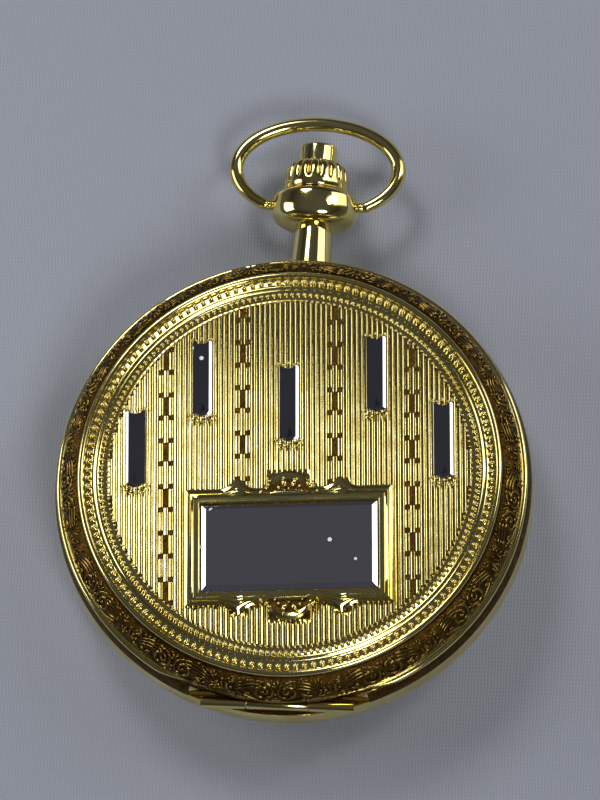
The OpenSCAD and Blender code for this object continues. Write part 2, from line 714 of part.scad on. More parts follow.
module main_plate() {
    rim_w = 1.2;
    window_w = 2 * winding_tip_r + 0.5;
    block_w = 3.2;
    color(brass) difference() {
        union() {
            disc(movement_r, plate_z, plate_z + plate_t);
            tube(movement_r, movement_r - rim_w, plate_z, dial_z);
            at(crown_wheel_p) disc(crown_post_r, wind_z0 + gap, plate_z + eps);
            translate([-block_w / 2, block_y, stem_z - 1.2]) cube([block_w, movement_r - rim_w - block_y, plate_z - stem_z + 1.2]);
        }
        // Sink for the motion work under the dial
        disc(hour_m * (hour_n / 2 + 1) + 0.3, motion_floor_z, case_d);
        at(minute_p) disc(cannon_m * (minute_n / 2 + 1) + 0.3, motion_floor_z, case_d);
        disc(centre_arbor_r + run, 0, case_d);
        at(fourth_p) disc(pivot_r + run, 0, case_d);
        at(barrel_p) disc(arbor_r_barrel + run, 0, plate_z + 0.65);
        for (p = [third_p, fourth_p, escape_p, pallet_p, balance_p]) at(p) disc(jewel_r, 0, plate_z + jewel_t);
        // Window for the winding pinion and clutch
        translate([-window_w / 2, clutch_y - gap / 2, plate_z - 1]) cube([window_w, block_y - clutch_y + gap / 2, plate_t + 2]);
        on_stem() disc(stem_in_r + run, block_y - gap, case_d);
    }
    color(brass) at(minute_p) disc(arbor_r, motion_floor_z, dial_z - gap);
}

// Holes of a bridge for its screws
module screw_holes(feet, face_z) {
    for (p = feet) at(p) {
        disc(screw_r, 0, screw_end_z);
        disc(screw_head_r, 0, face_z + screw_sink);
    }
}

module barrel_bridge() {
    cover_r = 5.5;
    color(brass) difference() {
        union() {
            at(barrel_p) disc(cover_r, bridge_z, train_z);
            for (p = concat(barrel_feet, [click_p])) bar(barrel_p, foot_r, p, foot_r, bridge_z, train_z);
            for (p = barrel_feet) at(p) disc(foot_r, train_z - eps, plate_z);
        }
        at(barrel_p) disc(arbor_r_barrel + run, 0, case_d);
        at(click_p) disc(screw_r, 0, train_z - gap);
        screw_holes(barrel_feet, bridge_z);
    }
}

module train_bridge() {
    line = [train_feet[1], centre_p, third_p, fourth_p, escape_p];
    width = 1.5;
    color(brass) difference() {
        union() {
            for (i = [0 : len(line) - 2]) bar(line[i], width, line[i + 1], width, bridge_z, train_z);
            bar(third_p, width, train_feet[0], width, bridge_z, train_z);
            bar(fourth_p, width, train_feet[2], width, bridge_z, train_z);
            for (p = train_feet) at(p) disc(foot_r, train_z - eps, plate_z);
        }
        for (p = [centre_p, third_p, fourth_p, escape_p]) at(p) disc(jewel_r, 0, case_d);
        screw_holes(train_feet, bridge_z);
    }
}

pallet_bridge_z = fork_z - 0.65;
pallet_bridge_t = 0.5;
module pallet_bridge() {
    color(brass) difference() {
        union() {
            bar(pallet_foot, 0.9, pallet_p, jewel_r + 0.3, pallet_bridge_z, pallet_bridge_z + pallet_bridge_t);
            at(pallet_foot) disc(0.8, pallet_bridge_z, plate_z);
        }
        at(pallet_p) disc(jewel_r, 0, case_d);
    }
}

module balance_cock() {
    color(brass) difference() {
        union() {
            bar(cock_foot, 1.8, balance_p, 1.4, cock_z, cock_z + cock_t);
            at(cock_foot) disc(1.5, cock_z, plate_z);
        }
        at(balance_p) disc(jewel_r, 0, cock_z + cock_t + eps);
        screw_holes([cock_foot], cock_z);
    }
}

module screw(p, face_z, end_z) {
    slot_w = 0.2;
    at(p) difference() {
        union() {
            disc(screw_r, face_z + screw_sink - eps, end_z);
            disc(screw_head_r, face_z - screw_proud, face_z + screw_sink);
        }
        translate([-screw_head_r, -slot_w / 2, 0]) cube([2 * screw_head_r, slot_w, face_z + 0.1]);
    }
}
module movement_screws() {
    color(blued) {
        for (p = concat(barrel_feet, train_feet)) screw(p, bridge_z, screw_end_z);
        screw(cock_foot, cock_z, screw_end_z);
        at(click_p) {
            disc(screw_r, wind_z0 - 0.05, train_z - gap);
            disc(screw_head_r, wind_z0 - 0.25, wind_z0 - 0.05);
        }
    }
}

// Ring jewels of the going train, in their bridges and in the main plate
module jewel(p, z) { at(p) tube(jewel_r, pivot_r + run, z, z + jewel_t); }
module jewels() {
    color(ruby) {
        for (p = [centre_p, third_p, fourth_p, escape_p]) jewel(p, train_z - jewel_t);
        for (p = [third_p, fourth_p, escape_p, pallet_p, balance_p]) jewel(p, plate_z);
        jewel(pallet_p, pallet_bridge_z);
        jewel(balance_p, cock_z + cock_t - jewel_t);
    }
}

barrel_b = bearing(barrel_p, centre_p);
module barrel() {
    color(brass) at(barrel_p) difference() {
        union() {
            translate([0, 0, drum_floor_z]) linear_extrude(drum_z1 - gap - drum_floor_z)
                gear2d(barrel_n, barrel_m, wheel_tooth, barrel_b);
            tube(drum_r, drum_r - drum_wall, drum_z0, drum_floor_z + eps);
        }
        disc(arbor_r_barrel + run, 0, case_d);
    }
}

module barrel_cover() {
    cover_t = 0.2;
    color(brass) at(barrel_p) tube(drum_r - drum_wall, arbor_r_barrel + run, drum_z0, drum_z0 + cover_t);
}

// A flat coil between two radii
module coil(r0, r1, turns, t, h) {
    steps = 16 * turns;
    inner = [for (i = [0 : steps]) polar(r0 + (r1 - r0) * i / steps, i * 360 / 16)];
    outer = [for (i = [0 : steps]) polar(r0 + (r1 - r0) * i / steps + t, i * 360 / 16)];
    linear_extrude(h) polygon(concat(inner, [for (i = [0 : steps]) outer[steps - i]]));
}

arbor_hub_r = 1.6;
module mainspring() {
    color(steel) at(barrel_p, drum_z0 + 0.3)
        coil(arbor_hub_r + 0.2, drum_r - drum_wall - 0.25, 7, 0.15, drum_floor_z - drum_z0 - 0.4);
}

module barrel_arbor() {
    color(steel) at(barrel_p) {
        disc(arbor_r_barrel, wind_z1, plate_z + 0.6);
        disc(arbor_hub_r, drum_z0 + 0.25, drum_floor_z - 0.05);
        translate([-arbor_square / 2, -arbor_square / 2, wind_z0]) cube([arbor_square, arbor_square, wind_z1 - wind_z0 + eps]);
    }
}

crown_wheel_phase = 90 + 180 / crown_wheel_n;
module ratchet_wheel() {
    b = bearing(crown_wheel_p, barrel_p);
    color(steel) at(barrel_p, wind_z0) linear_extrude(wind_z1 - wind_z0) difference() {
        gear2d(ratchet_n, winding_m, winding_tooth, mesh_phase(b, crown_wheel_phase, crown_wheel_n, ratchet_n));
        square(arbor_square, center = true);
    }
}

module crown_wheel() {
    color(steel) at(crown_wheel_p, wind_z0) linear_extrude(crown_wheel_z1 - wind_z0) difference() {
        gear2d(crown_wheel_n, winding_m, winding_tooth, crown_wheel_phase);
        circle(r = crown_post_r + run);
    }
}

module click() {
    click_tip_r = 0.3;
    reach = winding_m * (ratchet_n / 2 + winding_tooth[0]) + click_tip_r + gap;
    tip_p = barrel_p + polar(reach, 112);
    color(steel) difference() {
        union() {
            bar(click_p, screw_head_r, tip_p, click_tip_r, wind_z0, wind_z1);
            at(click_p) disc(screw_head_r, wind_z0, wind_z1);
        }
        at(click_p) disc(screw_r + run, 0, case_d);
    }
}

module centre_wheel() {
    b = bearing(centre_p, third_p);
    color(brass) {
        translate([0, 0, centre_z]) wheel(centre_n, centre_m, b, 1);
        pinion(centre_pinion_n, barrel_m, mesh_phase(barrel_b, barrel_b, barrel_n, centre_pinion_n),
               drum_floor_z - 0.1, plate_z - 0.05);
        disc(pivot_r, train_z - jewel_t + 0.05, centre_z + eps);
        disc(centre_arbor_r, centre_z, hand_z1);
    }
}

module third_wheel() {
    b = bearing(third_p, fourth_p);
    a = bearing(centre_p, third_p);
    color(brass) at(third_p) {
        translate([0, 0, third_z]) wheel(third_n, third_m, b, 0.8);
        pinion(train_pinion_n, centre_m, mesh_phase(a, a, centre_n, train_pinion_n), centre_z - 0.05, centre_z + 0.6);
        arbor(train_z + 0.05, plate_z - 0.05);
    }
}

module fourth_wheel() {
    b = bearing(fourth_p, escape_p);
    a = bearing(third_p, fourth_p);
    color(brass) at(fourth_p) {
        translate([0, 0, fourth_z]) wheel(fourth_n, fourth_m, b, 0.7);
        pinion(train_pinion_n, third_m, mesh_phase(a, a, third_n, train_pinion_n), third_z - 0.15, third_z + 0.45);
        arbor(train_z + 0.05, plate_z - 0.05);
        disc(pivot_r, plate_z, dial_z + dial_t + 0.3);
    }
}

module escape_wheel() {
    a = bearing(fourth_p, escape_p);
    pitch = 360 / escape_n;
    root_r = escape_r - 0.75;
    color(steel) at(escape_p) {
        // Club teeth that lean forward
        translate([0, 0, escape_z]) linear_extrude(wheel_t) difference() {
            polygon([for (i = [0 : escape_n - 1], c = [[root_r, 0], [escape_r, 0.42], [escape_r, 0.62], [root_r, 0.5]])
                polar(c[0], (i + c[1]) * pitch)]);
            difference() {
                circle(r = root_r - 0.35);
                circle(r = 0.7);
                for (i = [1 : 4]) rotate(i * 90) translate([0, -0.15]) square([root_r, 0.3]);
            }
        }
        pinion(escape_pinion_n, fourth_m, mesh_phase(a, a, fourth_n, escape_pinion_n), fourth_z - 0.15, fourth_z + 0.4);
        arbor(train_z + 0.05, plate_z - 0.05);
    }
}

stone_a = 33;
stone_w = 0.3;
function stone_p(s) = escape_p + polar(escape_r + 0.42, fork_a + s * stone_a);
module pallet_fork() {
    fork_l = 2.35;
    fork_t = 0.25;
    notch_w = 0.35;
    notch_l = 0.35;
    tail_p = pallet_p + polar(fork_l - 0.4, fork_a);
    color(steel) {
        difference() {
            union() {
                bar(pallet_p, 0.4, tail_p, 0.35, fork_z, fork_z + fork_t);
                for (s = [-1, 1]) bar(pallet_p, 0.35, stone_p(s), 0.22, fork_z, fork_z + fork_t);
            }
            at(pallet_p) rotate([0, 0, fork_a]) translate([fork_l - notch_l, -notch_w / 2, 0]) cube([1, notch_w, case_d]);
        }
        at(pallet_p) {
            disc(pivot_r, pallet_bridge_z + 0.05, plate_z + jewel_t - 0.05);
            disc(arbor_r, fork_z - eps, plate_z - 0.05);
        }
    }
}
module pallet_stones() {
    color(ruby) for (s = [-1, 1]) at(stone_p(s), fork_z + 0.25) rotate([0, 0, fork_a + s * stone_a])
        translate([-stone_w / 2, -stone_w / 2, 0]) cube([stone_w, stone_w, 0.3]);
}

module balance_wheel() {
    rim_w = 0.6;
    spoke_w = 0.5;
    color(brass) at(balance_p, balance_z) linear_extrude(balance_t) difference() {
        circle(r = balance_r);
        difference() {
            circle(r = balance_r - rim_w);
            circle(r = 0.8);
            for (a = [0, 90]) rotate(fork_a + a) square([2 * balance_r, spoke_w], center = true);
        }
        circle(r = arbor_r);
    }
}
module balance_staff() {
    roller_r = 1.1;
    pin_orbit = 0.85;
    pin_r = 0.12;
    color(steel) at(balance_p) {
        disc(pivot_r, cock_z + cock_t - jewel_t + 0.05, plate_z + jewel_t - 0.05);
        disc(arbor_r, cock_z + cock_t + 0.05, plate_z - 0.05);
        disc(roller_r, fork_z - 0.35, fork_z - 0.1);
        at(polar(pin_orbit, fork_a + 180)) disc(pin_r, fork_z - 0.1 - eps, fork_z + 0.3);
    }
}
module hairspring() {
    r_out = 2.4;
    stud_a = bearing(balance_p, cock_foot);
    coil_z = cock_z + cock_t + 0.15;
    color(steel) at(balance_p) {
        translate([0, 0, coil_z]) rotate([0, 0, stud_a]) coil(arbor_r + 0.3, r_out, 5, 0.08, 0.25);
        at(polar(r_out + 0.04, stud_a)) disc(0.15, cock_z + cock_t, coil_z + 0.25);
    }
}

// Motion work, dial and hands; the hands stand at ten past ten
cannon_m = 2 * motion_reach / (cannon_n + minute_n);
hour_m = 2 * motion_reach / (minute_pinion_n + hour_n);
minute_b = bearing(minute_p, centre_p);
minute_hand_a = 90 - 6 * 10;
hour_hand_a = 90 - 30 * (10 + 10 / 60);
seconds_hand_a = 90;
hand_t = 0.15;
seconds_hand_z = dial_z + dial_t + 0.12;
hour_hand_z = dial_z + dial_t + 0.4;
minute_hand_z = hour_hand_z + 0.4;
hand_z1 = minute_hand_z + hand_t;
cannon_r = 0.68;
hour_pipe_r = 1;

module cannon_pinion() {
    color(steel) difference() {
        union() {
            pinion(cannon_n, cannon_m, mesh_phase(minute_b, minute_b, minute_n, cannon_n), motion_z, motion_z + 0.25);
            disc(cannon_r, motion_z + 0.25 - eps, minute_hand_z + hand_t);
        }
        disc(centre_arbor_r, 0, case_d);
    }
}
module minute_wheel() {
    color(brass) at(minute_p) difference() {
        union() {
            translate([0, 0, motion_z]) linear_extrude(0.25) gear2d(minute_n, cannon_m, wheel_tooth, minute_b);
            pinion(minute_pinion_n, hour_m, minute_b + 180 / minute_pinion_n, motion_z + 0.25 - eps, hour_z + 0.23);
        }
        disc(arbor_r + run, 0, case_d);
    }
}
module hour_wheel() {
    color(brass) difference() {
        union() {
            translate([0, 0, hour_z]) linear_extrude(0.2) gear2d(hour_n, hour_m, wheel_tooth, minute_b + 180);
            disc(hour_pipe_r, hour_z, hour_hand_z + hand_t);
        }
        disc(cannon_r + run, 0, case_d);
    }
}

module dial() {
    recess = 0.12;
    color([0.95, 0.94, 0.9]) difference() {
        disc(dial_r, dial_z, dial_z + dial_t);
        disc(hour_pipe_r + 0.25, 0, case_d);
        at(fourth_p) disc(pivot_r + 0.25, 0, case_d);
        at(fourth_p) disc(seconds_r, dial_z + dial_t - recess, case_d);
    }
}

// A spade hand along +X, on a pipe of radius bore_r
module spade_hand(l, bore_r, hub_w, w, spade_r) {
    spade_x = l * 0.68;
    tip_w = 0.16;
    difference() {
        union() {
            linear_extrude(hand_t) bar2d([0, 0], w, [spade_x, 0], w / 2);
            linear_extrude(hand_t) polygon([[spade_x, -spade_r * 0.9], [l, -tip_w / 2], [l, tip_w / 2], [spade_x, spade_r * 0.9]]);
            at([spade_x, 0]) disc(spade_r, 0, hand_t);
            disc(bore_r + hub_w, 0, hand_t);
        }
        disc(bore_r, -eps, hand_t + eps);
    }
}
module hour_hand() {
    color(blued) translate([0, 0, hour_hand_z]) rotate([0, 0, hour_hand_a]) spade_hand(hour_hand_l, hour_pipe_r, 0.5, 0.45, 1.05);
}
module minute_hand() {
    color(blued) translate([0, 0, minute_hand_z]) rotate([0, 0, minute_hand_a]) spade_hand(minute_hand_l, cannon_r, 0.45, 0.4, 0.8);
}
module seconds_hand() {
    tail = 1.1;
    hub_r = 0.5;
    color(blued) at(fourth_p, seconds_hand_z) rotate([0, 0, seconds_hand_a]) difference() {
        union() {
            linear_extrude(hand_t) bar2d([-tail, 0], 0.16, [seconds_hand_l, 0], 0.06);
            disc(hub_r, 0, hand_t);
        }
        disc(pivot_r, -eps, hand_t + eps);
    }
}

case_band();
case_back();
bezel();
crystal();
hinge_pin();
lift_spring();
lock_spring();
front_cover();
engraving_plate();
ribbon_inlays();
pendant();
bow();
crown();
crown_button();
winding_stem();
winding_pinion();
clutch_wheel();
movement_ring();
main_plate();
barrel_bridge();
train_bridge();
pallet_bridge();
balance_cock();
movement_screws();
jewels();
barrel();
barrel_cover();
mainspring();
barrel_arbor();
ratchet_wheel();
crown_wheel();
click();
centre_wheel();
third_wheel();
fourth_wheel();
escape_wheel();
pallet_fork();
pallet_stones();
balance_wheel();
balance_staff();
hairspring();
cannon_pinion();
minute_wheel();
hour_wheel();
dial();
hour_hand();
minute_hand();
seconds_hand();
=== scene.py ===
"""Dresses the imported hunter-case pocket watch: ornament, smooth shells, finishes, light and camera."""

import math

import bmesh
import bpy
from mathutils import Matrix, Vector


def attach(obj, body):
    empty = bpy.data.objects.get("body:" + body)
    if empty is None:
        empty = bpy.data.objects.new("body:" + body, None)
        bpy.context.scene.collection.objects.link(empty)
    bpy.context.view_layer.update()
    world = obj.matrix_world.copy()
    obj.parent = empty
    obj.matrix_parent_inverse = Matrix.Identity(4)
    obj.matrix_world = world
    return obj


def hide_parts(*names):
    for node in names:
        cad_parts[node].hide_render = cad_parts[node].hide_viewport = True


bl_info = {
    "name": "Hunter-case pocket watch",
    "version": (1, 0, 0),
    "blender": (4, 5, 0),
    "location": "View3D > Sidebar > Watch",
    "description": "Builds the ornament, shells and finishes of a closed hunter-case pocket watch",
    "category": "Object",
}

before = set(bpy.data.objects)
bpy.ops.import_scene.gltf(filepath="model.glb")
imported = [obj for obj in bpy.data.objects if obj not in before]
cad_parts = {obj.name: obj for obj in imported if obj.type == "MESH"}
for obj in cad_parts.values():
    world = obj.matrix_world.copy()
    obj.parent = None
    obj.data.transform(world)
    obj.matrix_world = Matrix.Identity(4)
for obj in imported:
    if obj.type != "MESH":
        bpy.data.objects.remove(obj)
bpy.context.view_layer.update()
MM = 0.001
TAU = 2 * math.pi

# Places and sizes taken from the solids, in millimetres, and the lean of the lid's ornament
CHANNEL_Z = 11.75
FIELD_Z = 11.9
FIELD_RISE = 0.45
FIELD_R = 17.7
FIELD_SINK = 0.1
CHAIN_COLUMNS = (4.5, 12.0)
PLATE_Y = -7.6
COVER_TURN = math.radians(3.8)
STEM_Z = 4.6
HINGE_Y = -22.4
HINGE_Z = 8.0


def linear(red, green, blue):
    """Turns a written screen colour of 0 to 255 into the linear colour that the shaders use."""
    def one(value):
        value /= 255
        return value / 12.92 if value <= 0.04045 else ((value + 0.055) / 1.055) ** 2.4
    return one(red), one(green), one(blue), 1.0


def field_height(x, y=0.0):
    """Height of the domed field of the cover over a place."""
    return FIELD_Z + FIELD_RISE * (1 - (math.hypot(x, y) / FIELD_R) ** 2)


def on_cover(x, y):
    """Turns a place in the ornament's frame into the watch's frame."""
    c, s = math.cos(COVER_TURN), math.sin(COVER_TURN)
    return x * c - y * s, x * s + y * c


# Node helpers


def add(tree, kind, inputs=None, **settings):
    """Adds a node, sets its options, and fills inputs from values or links them from sockets."""
    made = tree.nodes.new(kind)
    for key, value in settings.items():
        setattr(made, key, value)
    for key, value in (inputs or {}).items():
        if isinstance(value, bpy.types.NodeSocket):
            tree.links.new(value, made.inputs[key])
        else:
            made.inputs[key].default_value = value
    return made


def calc(tree, operation, first, second=0.0, third=0.0):
    """One Math node; returns its result socket."""
    return add(tree, "ShaderNodeMath", {0: first, 1: second, 2: third}, operation=operation).outputs[0]


def geo(tree, kind, inputs=None):
    """One geometry node; returns its first result."""
    return add(tree, "GeometryNode" + kind, inputs).outputs[0]


def group_tree(name, kind, inputs, outputs):
    """A node group with named sockets, its input sockets and its output node.

    inputs are (name, type, default) rows and outputs (name, type) rows.
    """
    tree = bpy.data.node_groups.new(name, kind)
    for label, socket, default in inputs:
        made = tree.interface.new_socket(name=label, in_out="INPUT", socket_type="NodeSocket" + socket)
        if default is not None:
            made.default_value = default
    for label, socket in outputs:
        tree.interface.new_socket(name=label, in_out="OUTPUT", socket_type="NodeSocket" + socket)
    return tree, tree.nodes.new("NodeGroupInput").outputs, tree.nodes.new("NodeGroupOutput")


def geometry_tree(name, inputs):
    """A geometry tree with named inputs and one result."""
    return group_tree(name, "GeometryNodeTree", inputs, [("Geometry", "Geometry")])


# Mesh helpers: a shape is a pair of points, in millimetres, and faces


def quads(rings, rows, ring_loop=True, row_loop=True, flip=False):
    """Faces between neighbouring rings of points, each ring with the same number of rows."""
    faces = []
    for k in range(rings if ring_loop else rings - 1):
        here, there = k * rows, (k + 1) % rings * rows
        for i in range(rows if row_loop else rows - 1):
            j = (i + 1) % rows
            face = (here + i, there + i, there + j, here + j)
            faces.append((face[0], face[3], face[2], face[1]) if flip else face)
    return faces


def caps(rings, rows):
    """The two end faces of a row of rings."""
    return [tuple(reversed(range(rows))), tuple(range((rings - 1) * rows, rings * rows))]


def tube(rings, rows):
    """Faces of a row of rings with both ends closed."""
    return quads(rings, rows, ring_loop=False, flip=True) + caps(rings, rows)


def prism(outline, low, high):
    """An outline drawn up from one height to another."""
    return [(x, y, z) for z in (low, high) for x, y in outline], tube(2, len(outline))


def box_mesh(low, high, cut):
    """A box with its upright edges cut."""
    (x0, y0, z0), (x1, y1, z1) = low, high
    return prism([(x0 + cut, y0), (x1 - cut, y0), (x1, y0 + cut), (x1, y1 - cut), (x1 - cut, y1), (x0 + cut, y1),
                  (x0, y1 - cut), (x0, y0 + cut)], z0, z1)


def revolve(profile, steps, closed=True, bend=None):
    """A profile of (radius, height) turned about Z. bend moves each point."""
    verts = []
    for k in range(steps):
        c, s = math.cos(TAU * k / steps), math.sin(TAU * k / steps)
        for radius, height in profile:
            point = (radius * c, radius * s, height)
            verts.append(bend(*point) if bend else point)
    return verts, quads(steps, len(profile), row_loop=closed)


def sweep(path, radii, sides, up=Vector((0, 0, 1))):
    """A round bar along a path, with closed ends."""
    points = [Vector(p) for p in path]
    last = len(points) - 1
    verts = []
    for i, point in enumerate(points):
        along = (points[min(i + 1, last)] - points[max(i - 1, 0)]).normalized()
        side = along.cross(up).normalized()
        over = side.cross(along)
        for k in range(sides):
            a = TAU * k / sides
            verts.append(tuple(point + side * (radii[i] * math.cos(a)) + over * (radii[i] * math.sin(a))))
    return verts, tube(len(points), sides)


def ball(place, radius, stretch=(1, 1, 1), turn=0.0, segments=7, rings=5):
    """A bead, stretched along its own axes and turned about Z."""
    x, y, z = place
    c, s = math.cos(turn), math.sin(turn)
    wide, long, high = (radius * part for part in stretch)
    verts = []
    for i in range(1, rings):
        lat = math.pi * i / rings
        for k in range(segments):
            lon = TAU * k / segments
            a, b = wide * math.sin(lat) * math.cos(lon), long * math.sin(lat) * math.sin(lon)
            verts.append((x + a * c - b * s, y + a * s + b * c, z + high * math.cos(lat)))
    top, low, last = len(verts), len(verts) + 1, (rings - 2) * segments
    verts += [(x, y, z + high), (x, y, z - high)]
    faces = quads(rings - 1, segments, ring_loop=False)
    for k in range(segments):
        j = (k + 1) % segments
        faces += [(top, k, j), (low, last + j, last + k)]
    return verts, faces


def round_arc(cx, cy, radius, start, end, count):
    """Points of an arc in the profile plane, angles in degrees."""
    angles = [math.radians(start + (end - start) * i / count) for i in range(count + 1)]
    return [(cx + radius * math.cos(a), cy + radius * math.sin(a)) for a in angles]


def curve3(p, c, q, count):
    """Points of a quadratic curve from p past c to q."""
    return [tuple((1 - t) ** 2 * a + 2 * t * (1 - t) * b + t * t * d for a, b, d in zip(p, c, q))
            for t in (i / count for i in range(count + 1))]


def joined(shapes):
    """Several shapes as one."""
    verts, faces = [], []
    for more_verts, more_faces in shapes:
        start = len(verts)
        verts += more_verts
        faces += [tuple(i + start for i in f) for f in more_faces]
    return verts, faces


# Piece helpers

FINISH = {}


def finish_piece(piece, body, replaced=()):
    """Gives a made piece to the body that it moves with."""
    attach(piece, body)
    if replaced:
        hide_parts(*replaced)


def fill_mesh(mesh, shape):
    """Puts a shape in millimetres into a mesh in metres."""
    mesh.from_pydata([tuple(c * MM for c in v) for v in shape[0]], [], shape[1])


def mesh_piece(name, shape, finish, body, replaced=(), smooth=True, sharp=None, ground=None):
    """A piece from a shape. ground tests a face's middle for the darkened ground: antiqued ground and painted shade."""
    mesh = bpy.data.meshes.new(name)
    fill_mesh(mesh, shape)
    mesh.validate()
    work = bmesh.new()
    work.from_mesh(mesh)
    bmesh.ops.remove_doubles(work, verts=work.verts, dist=1e-8)
    bmesh.ops.recalc_face_normals(work, faces=work.faces)
    work.to_mesh(mesh)
    work.free()
    mesh.materials.append(FINISH[finish])
    if ground:
        mesh.materials.append(FINISH["gold_ground"])
        for face in mesh.polygons:
            face.material_index = int(ground(*(face.center / MM)))
    if smooth:
        mesh.shade_smooth()
        if sharp is not None:
            mesh.set_sharp_from_angle(angle=math.radians(sharp))
    piece = bpy.data.objects.new(name, mesh)
    bpy.context.scene.collection.objects.link(piece)
    finish_piece(piece, body, replaced)


def tree_piece(name, tree, values, body, seed=None):
    """A piece from a geometry tree: evaluated once, turned into a plain mesh, the modifier removed."""
    start = bpy.data.meshes.new(name + "_seed")
    if seed:
        fill_mesh(start, seed)
    piece = bpy.data.objects.new(name, start)
    bpy.context.scene.collection.objects.link(piece)
    modifier = piece.modifiers.new("shape", "NODES")
    modifier.node_group = tree
    for item in tree.interface.items_tree:
        if item.item_type == "SOCKET" and item.in_out == "INPUT" and item.name in values:
            modifier[item.identifier] = values[item.name]
    graph = bpy.context.evaluated_depsgraph_get()
    mesh = bpy.data.meshes.new_from_object(piece.evaluated_get(graph), depsgraph=graph)
    piece.modifiers.clear()
    mesh.name = name
    piece.data = mesh
    bpy.data.meshes.remove(start)
    finish_piece(piece, body)


# Finishes

BUMP_DEPTH = 0.0001


def new_material(name, plain):
    """A material with plain values on its shader, its tree and its shader."""
    material = bpy.data.materials.new(name)
    material.use_nodes = True
    shader = material.node_tree.nodes["Principled BSDF"]
    for key, value in plain.items():
        shader.inputs[key].default_value = value
    return material, material.node_tree, shader


def feed(tree, node, sockets):
    """Links sockets to a node's inputs."""
    for key, socket in sockets.items():
        tree.links.new(socket, node.inputs[key])


def place(tree):
    """The place on the piece that a pattern follows."""
    return add(tree, "ShaderNodeTexCoord").outputs["Object"]


def noise(tree, where, scale, detail, **more):
    """A cloud pattern from 0 to 1."""
    return add(tree, "ShaderNodeTexNoise", {"Vector": where, "Scale": scale, "Detail": detail, **more}).outputs[0]


def blend(tree, share, first, second):
    """A mix of two colours."""
    return add(tree, "ShaderNodeMix", {0: share, 6: first, 7: second}, data_type="RGBA").outputs[2]


def span(tree, value, source, target):
    """A value moved from one range to another."""
    return add(tree, "ShaderNodeMapRange", {"Value": value, "From Min": source[0], "From Max": source[1],
                                            "To Min": target[0], "To Max": target[1]}).outputs[0]


def bump(tree, strength, height):
    """A normal from a fine height pattern."""
    return add(tree, "ShaderNodeBump", {"Strength": strength, "Distance": BUMP_DEPTH, "Height": height}).outputs[0]


def handling_group():
    """Soft smudges and fine hairlines that a handled polished metal shows."""
    tree, source, sink = group_tree(
        "Handling marks", "ShaderNodeTree",
        [("Scale", "Float", 1.0), ("Smooth", "Float", 0.1), ("Dull", "Float", 0.25), ("Bright", "Color", None),
         ("Deep", "Color", None)],
        [("Color", "Color"), ("Roughness", "Float"), ("Height", "Float")])
    where = place(tree)
    size = calc(tree, "MULTIPLY", source["Scale"], 260.0)
    smudge = span(tree, noise(tree, where, size, 4.0, Roughness=0.6), (0.35, 0.72), (0.0, 1.0))
    feed(tree, sink, {"Color": blend(tree, smudge, source["Bright"], source["Deep"]),
                      "Roughness": span(tree, smudge, (0.0, 1.0), (source["Smooth"], source["Dull"])),
                      "Height": noise(tree, where, calc(tree, "MULTIPLY", size, 14.0), 2.0)})


def metal(name, bright, deep, smooth, dull, scale, relief):
    """A polished metal with handling marks."""
    material, tree, shader = new_material(name, {"Metallic": 1.0})
    marks = add(tree, "ShaderNodeGroup", node_tree=bpy.data.node_groups["Handling marks"])
    for key, value in (("Scale", scale), ("Smooth", smooth), ("Dull", dull), ("Bright", bright), ("Deep", deep)):
        marks.inputs[key].default_value = value
    feed(tree, shader, {"Base Color": marks.outputs["Color"], "Roughness": marks.outputs["Roughness"],
                        "Normal": bump(tree, relief, marks.outputs["Height"])})
    return material


def striped_metal(name, bright, deep, pitch):
    """Plate metal with the broad grained stripes of a finished movement."""
    material, tree, shader = new_material(name, {"Metallic": 1.0})
    where = place(tree)
    bands = add(tree, "ShaderNodeTexWave", {"Vector": where, "Scale": 0.31 / pitch, "Distortion": 0.0},
                wave_profile="SAW", bands_direction="DIAGONAL").outputs["Fac"]
    feed(tree, shader, {"Base Color": blend(tree, bands, bright, deep),
                        "Roughness": span(tree, bands, (0.0, 1.0), (0.25, 0.42)),
                        "Normal": bump(tree, 0.08, noise(tree, where, 5000.0, 2.0))})
    return material


def clouded(name, first, second, scale, detail, plain):
    """A coat of two tones that pass into each other: enamel, ruby or ink."""
    material, tree, shader = new_material(name, plain)
    feed(tree, shader, {"Base Color": blend(tree, noise(tree, place(tree), scale, detail), first, second)})
    return material


def glass(name):
    """Clear crystal with faint smears."""
    material, tree, shader = new_material(name, {"Base Color": (1, 1, 1, 1), "Transmission Weight": 1.0, "IOR": 1.5})
    feed(tree, shader, {"Roughness": span(tree, noise(tree, place(tree), 220.0, 3.0), (0.4, 0.8), (0.0, 0.04))})
    return material


def mirror_silver(name, tone):
    """Silvered plate: a mirror with a few specks of dust."""
    material, tree, shader = new_material(name, {})
    where = place(tree)
    dust = add(tree, "ShaderNodeTexVoronoi", {"Vector": where, "Scale": 520.0, "Randomness": 1.0}).outputs["Distance"]
    chosen = calc(tree, "GREATER_THAN", noise(tree, where, 190.0, 1.0), 0.56)
    speck = calc(tree, "MULTIPLY", calc(tree, "LESS_THAN", dust, 0.13), chosen)
    smear = span(tree, noise(tree, where, 240.0, 3.0), (0.4, 0.75), (0.03, 0.09))
    feed(tree, shader, {"Base Color": blend(tree, speck, tone, linear(250, 250, 250)),
                        "Roughness": calc(tree, "MAXIMUM", smear, calc(tree, "MULTIPLY", speck, 0.8)),
                        "Metallic": calc(tree, "SUBTRACT", 1.0, speck)})
    return material


def opaque(color):
    """A colour property as a shader colour."""
    return tuple(color)[:3] + (1.0,)


